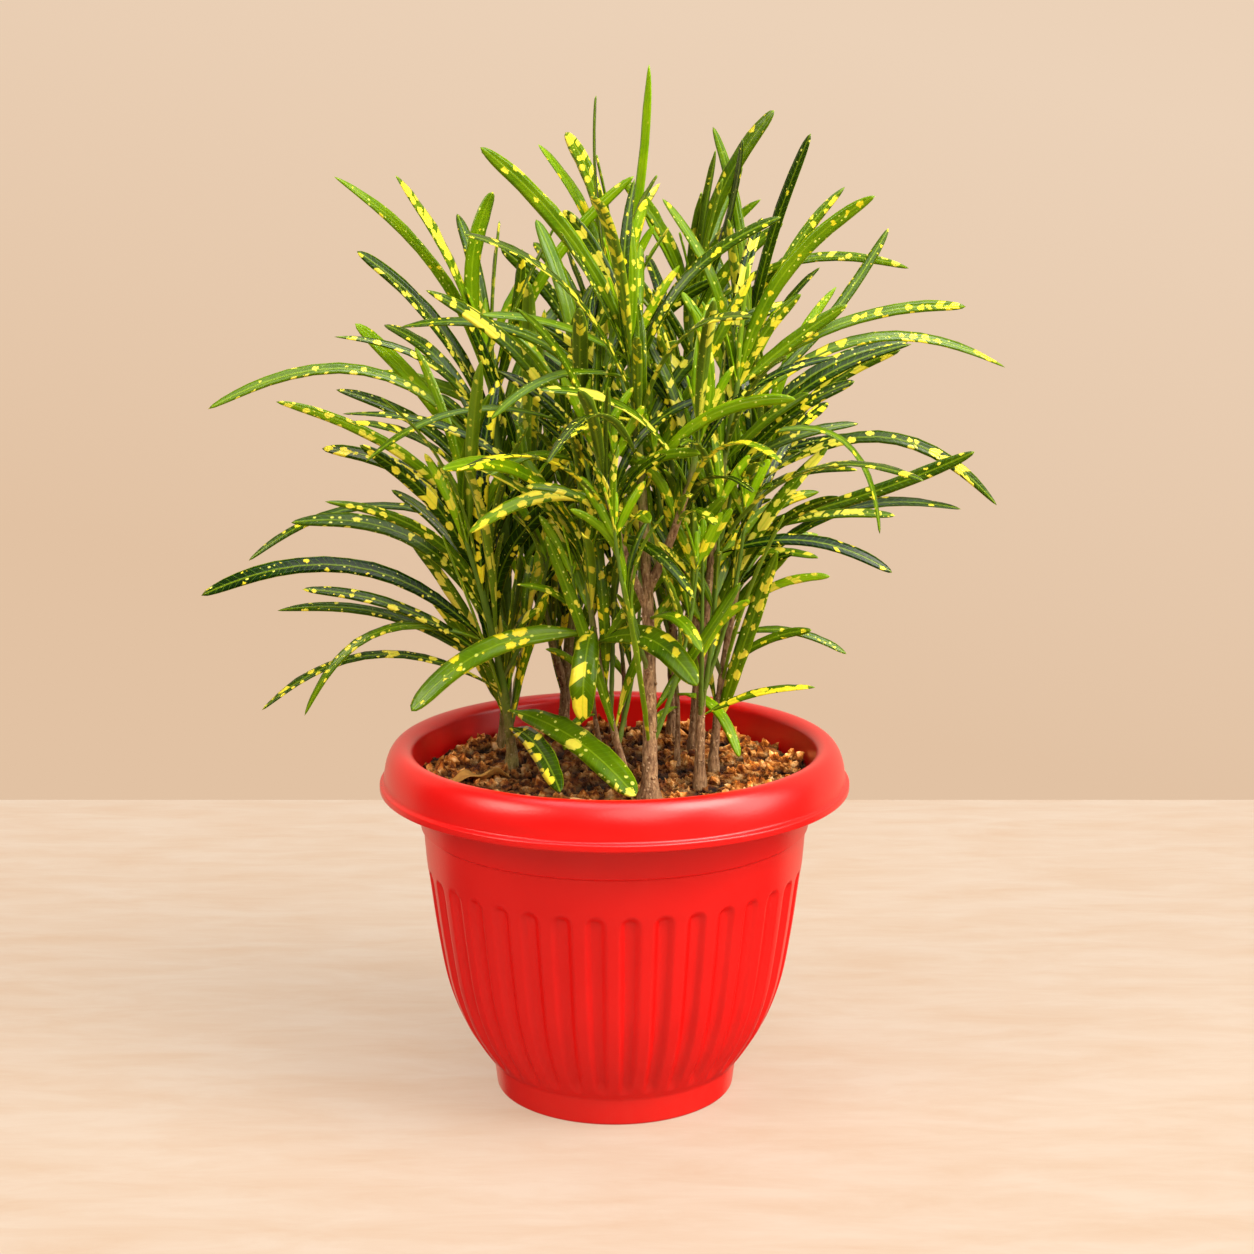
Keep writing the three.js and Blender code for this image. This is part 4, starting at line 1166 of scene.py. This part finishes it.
def leaf_tree():
    tree, given, node = new_tree("grow_leaves", Blade="Object", Fold="Float", Thickness="Float",
                                 Wave="Float", Material="Material")
    blades = node("InstanceOnPoints", given["Geometry"], Instance=node(
        "GeometryNodeObjectInfo", given["Blade"]).outputs["Geometry"])
    real = node("RealizeInstances", blades)
    own = {name: node("InputNamedAttribute FLOAT", name) for name in NUMBERS}
    own |= {name: node("InputNamedAttribute FLOAT_VECTOR", name) for name in VECTORS}
    share, place = own["share"], own["place"]

    # The midrib's parabola, and the directions across and out of the blade
    rest = node("Math SUBTRACT", 1.0, share)
    run = node("VectorMath SCALE", own["along"], share)
    lifted = node("VectorMath SCALE", own["over"], node("Math MULTIPLY", share, rest))
    centre = node("VectorMath ADD", own["root"], node("VectorMath ADD", run, lifted))
    slope = node("VectorMath SCALE", own["over"], node("Math SUBTRACT", rest, share))
    ahead = node("VectorMath NORMALIZE", node("VectorMath ADD", own["along"], slope))
    above = node("VectorMath CROSS_PRODUCT", ahead, own["aside"])
    twist = node("Math MULTIPLY_ADD", node("Math SUBTRACT", share, TWIST_MIDDLE), own["twist"],
                 own["roll"])
    across = node("VectorRotate", own["aside"], Axis=ahead, Angle=twist)
    normal = node("VectorRotate", above, Axis=ahead, Angle=twist)

    outline = node("Mix FLOAT", own["tip_blunt"], own["pointed"], own["blunt"])
    # Margins wave in and out, each side in its own rhythm
    rhythm = node("Math MULTIPLY_ADD", own["number"], 0.37, node("Math MULTIPLY", place, 2.1))
    beat = node("CombineXYZ", node("Math MULTIPLY", share, 9.0), rhythm)
    swing = node("Math SUBTRACT", node("TexNoise", Vector=beat, Scale=1.0, Detail=1.0), 0.5)
    half = node("Math MULTIPLY", node("Math MULTIPLY", own["width"], 0.5), outline)
    wide = node("Math MULTIPLY", half, node("Math MULTIPLY_ADD", swing, 0.35, 1.0))
    reach = node("Math MULTIPLY", wide, place)
    outward = node("Math ABSOLUTE", place)
    hollow = node("Math MULTIPLY", node("Math MULTIPLY", half, given["Fold"]),
                  node("Math SUBTRACT", outward, 1.0))
    # Full on top, thicker under the midrib, and round at the petiole
    stalk = node("MapRange", share, 0.2, 0.04, 1.0, 1.6)
    body = node("Math MULTIPLY", node("Math MULTIPLY", own["side"], given["Thickness"]), stalk)
    ripple = node("Math MULTIPLY", node("Math MULTIPLY", swing, outward),
                  node("Math MULTIPLY", given["Wave"], outline))
    height = node("Math ADD", node("Math ADD", hollow, body), ripple)
    off_rib = node("VectorMath ADD", node("VectorMath SCALE", across, reach),
                   node("VectorMath SCALE", normal, height))
    moved = node("SetPosition", real, Position=node("VectorMath ADD", centre, off_rib))

    # The place on the blade in millimetres, and the looks, for the material
    length = node("VectorMath LENGTH", own["along"])
    in_mm = node("CombineXYZ", node("Math MULTIPLY", reach, 1 / MM),
                 node("Math MULTIPLY", node("Math MULTIPLY", length, share), 1 / MM), own["number"])
    under = node("Math MULTIPLY_ADD", own["side"], -0.5, 0.5)
    looks = node("CombineXYZ", own["young"], own["gold"], under)
    broad = node("Math MAXIMUM", own["width"], 5 * MM)
    grain = node("Math POWER", node("Math DIVIDE", PATTERN_WIDTH * MM, broad), 0.8)
    for name, value, kind in (("blade_place", in_mm, "FLOAT_VECTOR"),
                              ("blade_look", looks, "FLOAT_VECTOR"),
                              ("pattern_grain", grain, "FLOAT")):
        moved = node("StoreNamedAttribute " + kind, moved, Name=name, Value=value, domain="POINT")
    return end_tree(tree, node("SetShadeSmooth", moved), given["Material"])


grow_leaves = leaf_tree()

# %% [markdown]
# ### Every leaf's looks
#
# Old leaves low on a stem are the darkest. The newest at the top are lime. The low straps under the
# spiral are made paler as painted light, where the crown's shade falls on them. How much gold a
# leaf has
# is its own affair: some are barely dotted, and a few are more yellow than green.

# %% Leaf points
# Leaves that stand out, by the place of their tip: how young and how gold each one looks
STANDING_OUT = {
    (15, 28): (0.95, 0.2), (-118, 0): (0.55, 0.4), (-10, 20): (0.15, 0.3), (9, -76): (0.3, 0.66),
    (-22, -70): (0.05, 0.75), (-13, -50): (0.25, 0.85), (34, -78): (0.25, 0.66),
    (-86, -40): (0.4, 0.62), (-53, 8): (0.1, 0.6), (-59, -62): (0.5, 1.0), (-49, -66): (0.3, 0.1),
    (-53, -56): (0.35, 0.15), (-51, -42): (0.3, 0.1), (56, 40): (0.05, 0.3), (44, 32): (0.0, 0.3),
    (86, 30): (0.05, 0.35), (46, 60): (0.3, 0.2), (167, -4): (0.3, 0.85), (166, 0): (0.1, 0.7),
    (149, -6): (0.3, 0.7), (155, -4): (0.15, 0.6), (-177, -20): (0.0, 0.35),
    (-139, -10): (0.1, 0.55), (-176, 0): (0.3, 0.6), (-163, 20): (0.1, 0.5)}


def leaf_looks(leaf, stem, draw):
    low, top = stem["fill"]["from"], stem["top"][2]
    rise = (leaf["root"].z - low) / max(1, top - low)
    young = min(1, max(0, (rise - 0.7) / 0.3)) * 0.25 + 0.8 * draw.beta(0.5, 2.2)
    # New leaves are lime. The straps below the spiral stand in the crown's shade and get painted
    # light: a quarter more lime
    young += 0.5 * leaf.get("new", False) + 0.25 * (rise < 0)
    # Leaves that stand higher than 330 mm have caught more sun, and a touch more gold
    tip = leaf["root"].z + leaf["length"] * math.sin(math.radians(leaf["lift"]))
    gold = 0.42 + 0.01 * min(1, max(0, (tip - 330) / 60)) + 0.56 * draw.beta(1.1, 1.8)
    return STANDING_OUT.get(leaf.get("tip"), (min(1, young), gold))


def leaf_row(leaf, stem, draw):
    """What the leaf tree reads from a leaf's point, in metres and radians."""
    along, over, aside = leaf_frame(leaf)
    size = leaf["length"] * MM
    row = {"root": leaf["root"] * MM, "along": along * size,
           "over": over * size * leaf["arch"] * 4, "aside": aside,
           "width": leaf["width"] * MM, "roll": leaf_roll(leaf),
           "twist": math.radians(draw.uniform(-28, 28) * (0.5 if "tip" in leaf else 1)),
           "tip_blunt": draw.beta(1.0, 0.8), "number": float(draw.integers(1, 900))}
    row["young"], row["gold"] = leaf_looks(leaf, stem, draw)
    return row


# %% Grow the leaves
LEAF_SHAPE = {"Fold": 0.26, "Thickness": 0.45 * MM, "Wave": 1.6 * MM}
NAMES = list(dict.fromkeys(stem["name"] for stem in STEMS))
for i, name in enumerate(NAMES):
    draw = np.random.default_rng(40 + i)
    rows = [leaf_row(leaf, stem, draw) for stem, group in zip(PLANT, leaves)
            if stem["name"] == name for leaf in group]
    marks = {key: [row[key] for row in rows] for key in rows[0]}
    foliage = mesh_object(name.replace("stem", "leaves").replace("shoot", "sprout"),
                          marks["root"], **marks)
    run_tree(foliage, grow_leaves, Blade=blade, Material=leaf_skin, **LEAF_SHAPE)
    finish_piece(foliage, name)
bpy.data.objects.remove(blade)

# %% [markdown]
# ## Bark
#
# Croton wood is thin and knotty. Each leaf that fell left a raised scar, and the scars follow the
# same spiral as the leaves. The bark is grey-brown and corky at the foot and green near the top,
# where the stem is still young.


# %% Bark material
def knotty_bark():
    """Gives the eye streaky pale brown cork that turns green where the wood is young."""
    material, node = new_material("croton_bark")
    place = node("TexCoord").outputs["Object"]
    green = node("Attribute", attribute_name="greenness").outputs["Fac"]
    # Corky streaks run up the stem: stretched four times along Z
    long_way = node("VectorMath MULTIPLY", place, (1, 1, 0.28))
    streaks = node("TexNoise", Vector=long_way, Scale=900.0, Detail=4.0, Roughness=0.65)
    patches = node("TexNoise", Vector=place, Scale=140.0, Detail=3.0)
    cork = node("Mix RGBA", node("MapRange", streaks, 0.36, 0.66), "#6b4526", "#c39a6c")
    patchy = node("VectorMath SCALE", cork, node("MapRange", patches, 0.3, 0.7, 0.65, 1.1))
    # Lenticels: pale corky dots of half a millimetre
    pore = node("MapRange", node("TexVoronoi", Vector=place, Scale=480.0), 0.26, 0.16, 0.0, 0.6)
    dotted = node("Mix RGBA", pore, patchy, "#cfae83")
    edge = node("Math MULTIPLY_ADD", patches, 0.5, green)
    colour = node("Mix RGBA", node("MapRange", edge, 0.72, 1.15), dotted, "#5d7a14")
    relief = node("Math ADD", pore, streaks)
    bump = node("Bump", Height=relief, Strength=0.6, Distance=0.6 * MM)
    node("OutputMaterial", node("BsdfPrincipled", colour, Roughness=0.75, Normal=bump, IOR=1.45))
    return material


bark = knotty_bark()
print("bark:", len(bark.node_tree.nodes), "nodes")

# %% [markdown]
# ### Stem tree
#
# The stem's middle line is drawn as a chain of edges with its radius at each point. The tree turns
# it into a curve, wraps a round profile about it, and swells it a little at each node by noise.
# Leaf scars are small domes set out along it by the golden angle.


# %% Stem tree
def stem_tree():
    tree, given, node = new_tree("grow_stem", Sides="Int", Knots="Float", Scar="Object",
                                 Seed="Float", Material="Material")
    radius = node("InputNamedAttribute FLOAT", "stem_radius")
    line = node("SetCurveRadius", node("MeshToCurve", given["Geometry"]), Radius=radius)
    circle = node("CurvePrimitiveCircle", given["Sides"], 1.0)
    tube = node("CurveToMesh", line, circle, radius, True)
    shifted = node("VectorMath ADD", node("InputPosition"), given["Seed"])
    knots = node("TexNoise", Vector=shifted, Scale=210.0, Detail=2.0)
    swell = node("MapRange", knots, 0.25, 0.75, -1.0, 1.0, clamp=False)
    amount = node("Math MULTIPLY", swell, given["Knots"])
    push = node("VectorMath SCALE", node("InputNormal"), amount)
    wood = node("SetShadeSmooth", node("SetPosition", tube, Offset=push))
    # The scars sit on the points that carry a scar size
    scar = node("InputNamedAttribute FLOAT", "scar")
    face = node("InputNamedAttribute FLOAT_VECTOR", "face")
    scarred = node("MeshToPoints", given["Geometry"], node("Math GREATER_THAN", scar, 0.0))
    shift = node("SetPosition", scarred, Offset=node("VectorMath SCALE", face, radius))
    scars = node("InstanceOnPoints", shift, Instance=node(
        "GeometryNodeObjectInfo", given["Scar"]).outputs["Geometry"],
        Rotation=node("AlignRotationToVector", Vector=face, axis="X"), Scale=scar)
    both = node("JoinGeometry", wood)
    tree.links.new(scars.outputs[0], both.inputs[0])
    return end_tree(tree, both, given["Material"])


def scar_dome():
    """A leaf scar: a flat knob, about 2 units wide, that stands out along +X."""
    dome = bmesh.new()
    bmesh.ops.create_uvsphere(dome, u_segments=8, v_segments=5, radius=1)
    for corner in dome.verts:
        corner.co *= Vector((0.45, 0.95, 0.6))
    mesh = mesh_from("scar_dome", dome)
    mesh.shade_smooth()
    return new_object("scar_dome", mesh)


# %% Grow the stems
STEM_STEP = 2.4
BURIED = {"start": 118, "step": 4.25, "points": 8}
STEM_SIDES = 12
KNOT_HEIGHT = 0.22
SCAR_SHARE = 0.42
# Young wood is green from the foot; old wood only near its top
GREEN_START = {"stem_left": 0.6, "stem_left_front": 0.6, "stem_back_left": 0.4, "stem_slim": 0.3}
TWIG_GREEN = 0.75


def stem_chain(name, stems):
    """The stems' middle lines as chains of edges, with radius, scars and greenness."""
    points, edges = [], []
    marks = {"stem_radius": [], "scar": [], "face": [], "greenness": []}
    for stem in stems:
        start = TWIG_GREEN if stem.get("twig") else GREEN_START.get(stem["name"], 0)
        planted, (thick, thin) = len(stem["foot"]) == 2, stem["radii"]
        steps = int((stem["top"][2] - (*stem["foot"], STRAIGHT_TOP)[2]) / STEM_STEP)
        chain = [(stem_point(stem, i / steps), i / steps) for i in range(steps + 1)]
        if planted:
            chain = [(Vector((*stem["foot"], BURIED["start"] + BURIED["step"] * i)), 0)
                     for i in range(BURIED["points"])] + chain
        for i, (point, share) in enumerate(chain):
            radius = thick * (1 - share) + thin * share
            tip = min(1, (len(chain) - 1 - i) / 2 + 0.45)
            if planted:
                tip *= 1 + thick * 0.2 * math.exp(-max(0, point.z - 148) / 4)
            turn = math.radians(i * GOLDEN)
            scarred = i % 2 == 0 and STRAIGHT_TOP < point.z < stem["fill"]["from"] + 20
            row = (radius * MM * tip, SCAR_SHARE * radius * MM if scarred else 0,
                   (math.cos(turn), math.sin(turn), 0.0), share + start)
            for values, value in zip(marks.values(), row):
                values.append(value)
            if i:
                edges.append((len(points) - 1, len(points)))
            points.append(point * MM)
    return mesh_object(name, points, edges=edges, **marks)


grow_stem = stem_tree()
scar_knob = scar_dome()
for i, name in enumerate(NAMES):
    wood = stem_chain(name.replace("stem", "wood").replace("shoot", "stalk"),
                      [stem for stem in PLANT if stem["name"] == name])
    run_tree(wood, grow_stem, Sides=STEM_SIDES, Knots=KNOT_HEIGHT * MM, Scar=scar_knob,
             Seed=0.37 * i, Material=bark)
    finish_piece(wood, name)
bpy.data.objects.remove(scar_knob)

# %% [markdown]
# ## A dead leaf
#
# One old leaf lies curled on the soil, brown and papery. It is a single strip of mesh, bent by the
# same rule as its solid, with its edges rolled up.


# %% Dead leaf
def papery_leaf():
    """Gives the eye dull, blotchy brown with fine wrinkles."""
    material, node = new_material("dry_papery_leaf")
    place = node("TexCoord").outputs["Object"]
    blots = node("TexNoise", Vector=place, Scale=260.0, Detail=4.0)
    brown = node("Mix RGBA", blots, "#7a4a18", "#c99640")
    wrinkles = node("TexNoise", Vector=place, Scale=900.0, Detail=3.0)
    bump = node("Bump", Height=wrinkles, Strength=0.6, Distance=0.6 * MM)
    node("OutputMaterial", node("BsdfPrincipled", brown, Roughness=0.8, Normal=bump, IOR=1.45))
    return material


DRY_LEAF = {"length": 26, "width": 10, "curl": 5, "turn": 20, "thickness": 0.35}
DRY_STEPS = 26
DRY_COLUMNS = (-1, -0.75, -0.5, -0.25, 0, 0.25, 0.5, 0.75, 1)


def dry_corner(share, place, sink):
    """A corner of the dead leaf at a share of its length, from one edge, -1, to the other, 1."""
    turn = math.radians(DRY_LEAF["turn"])
    half = DRY_LEAF["width"] / 2 * math.sin(math.pi * (0.1 + 0.8 * share))
    arch = 0.5 * DRY_LEAF["curl"] * math.sin(2 * math.pi * share) ** 2 + 0.9
    along = (share - 0.5) * DRY_LEAF["length"]
    rise = abs(place) ** 1.8 * half * (0.5 + 0.35 * math.sin(5 * share + 2 * place))
    wrinkle = 0.35 * math.sin(9 * share + 4 * place) * abs(place)
    return (MM * (along * math.cos(turn) - place * half * math.sin(turn) + DRY_LEAF_PLACE[0]),
            MM * (along * math.sin(turn) + place * half * math.cos(turn) + DRY_LEAF_PLACE[1]),
            MM * (SOIL_TOP + 0.4 + arch + rise + wrinkle - sink))


def make_dead_leaf():
    """Rings of the upper side and back along the lower one, closed at both ends by quads."""
    ring = [(place, 0) for place in DRY_COLUMNS]
    ring += [(place, DRY_LEAF["thickness"]) for place in DRY_COLUMNS[::-1]]
    corners = [dry_corner(i / DRY_STEPS, *spot) for i in range(DRY_STEPS + 1) for spot in ring]
    sides, last = len(ring), len(corners) - 1
    faces = list(ring_faces(DRY_STEPS + 1, sides))
    for j in range(len(DRY_COLUMNS) - 1):
        faces.append((j + 1, sides - 2 - j, sides - 1 - j, j))
        faces.append((last - j, last - j - 1, last - sides + 2 + j, last - sides + 1 + j))
    leaf = mesh_object("dead_leaf", corners, faces)
    leaf.data.materials.append(papery_leaf())
    return leaf


finish_piece(make_dead_leaf(), "dry_leaf")

# %% [markdown]
# ## Table, wall and light
#
# The plant stands on a pale table in front of a warm, plain wall. A big soft key lamp from the
# upper right draws the highlights on the pot, helped by one in front and one at the side. A small
# warm lamp fills the left, and a cool one overhead puts the sheen on the leaves. The world adds
# only a trace of light, so the shade between the leaves stays deep.


# %% Stage
def pale_board(low, high):
    """Painted board with soft streaks from side to side; part of its light is its own."""
    material, node = new_material("pale_painted_board")
    place = node("TexCoord").outputs["Object"]
    long_way = node("VectorMath MULTIPLY", place, (12.0, 50.0, 1.0))
    streaks = node("TexNoise", Vector=long_way, Scale=1.0, Detail=9.0, Roughness=0.7,
                   Distortion=0.4)
    paint = node("Mix RGBA", node("MapRange", streaks, 0.3, 0.62), low, high)
    node("OutputMaterial", node("BsdfPrincipled", node("VectorMath SCALE", paint, 0.25),
                                Emission_Color=paint, Emission_Strength=0.55, Roughness=0.7))
    return material


def lit_wall(low, high):
    """A wall with its own even light, a little paler towards the top right."""
    material, node = new_material("evenly_lit_wall")
    x, _, z = node("SeparateXYZ", node("TexCoord").outputs["Object"]).outputs
    slope = node("Math MULTIPLY_ADD", x, 0.25, z)
    paint = node("Mix RGBA", node("MapRange", slope, -0.15, 0.6), low, high)
    node("OutputMaterial", node("Emission", paint, 1.0))
    return material


def make_slab(name, low, high, material):
    slab = bmesh.new()
    bmesh.ops.create_cube(slab, size=1)
    for corner in slab.verts:
        corner.co = [high[i] if corner.co[i] > 0 else low[i] for i in range(3)]
    mesh = mesh_from(name, slab)
    mesh.materials.append(material)
    thing = new_object(name, mesh)
    return thing


table = make_slab("table_top", (-2.5, -3, -0.03), (2.5, 0.452, 0), pale_board("#f1cfae", "#f8dfc5"))
table.visible_glossy = False
wall = make_slab("back_wall", (-4, 1.5, -1), (4, 1.52, 3), lit_wall("#e2c2a3", "#ecd2b8"))
wall.visible_diffuse = False
print("stage:", table.name, "and", wall.name)

# %% Lamps and world
# Place, the height on the pot's axis that it faces, size, watts and colour
LAMPS = {
    "key_lamp": ((1.8, -1.1, 2.8), 0.15, 2.0, 116, "#fff8f0"),
    "front_lamp": ((0.6, -2.0, 1.8), 0.15, 1.8, 29, "#fff8f0"),
    "side_lamp": ((2.0, -0.7, 1.0), 0.1, 1.4, 24, "#fff8f0"),
    "fill_lamp": ((-1.6, -1.0, 1.4), 0.2, 1.0, 20, "#fff1e2"),
    "sky_lamp": ((0, -0.2, 2.8), 0.2, 2.4, 45, "#f6f8ff")}
for name, (place, aim, size, power, colour) in LAMPS.items():
    light = bpy.data.lights.new(name, "AREA")
    light.shape = "DISK"
    light.size = size
    light.energy = power
    light.color = linear(colour)[:3]
    lamp = new_object(name, light)
    lamp.location = place
    lamp.rotation_euler = (Vector((0, 0, aim)) - Vector(place)).to_track_quat("-Z", "Y").to_euler()

world = bpy.data.worlds.new("studio")
world.use_nodes = True
bpy.context.scene.world = world
room = world.node_tree.nodes["Background"]
room.inputs["Color"].default_value = linear("#efe2d4")
room.inputs["Strength"].default_value = 0.05
bpy.context.scene.view_settings.view_transform = "Standard"
print("lamps:", len(LAMPS))
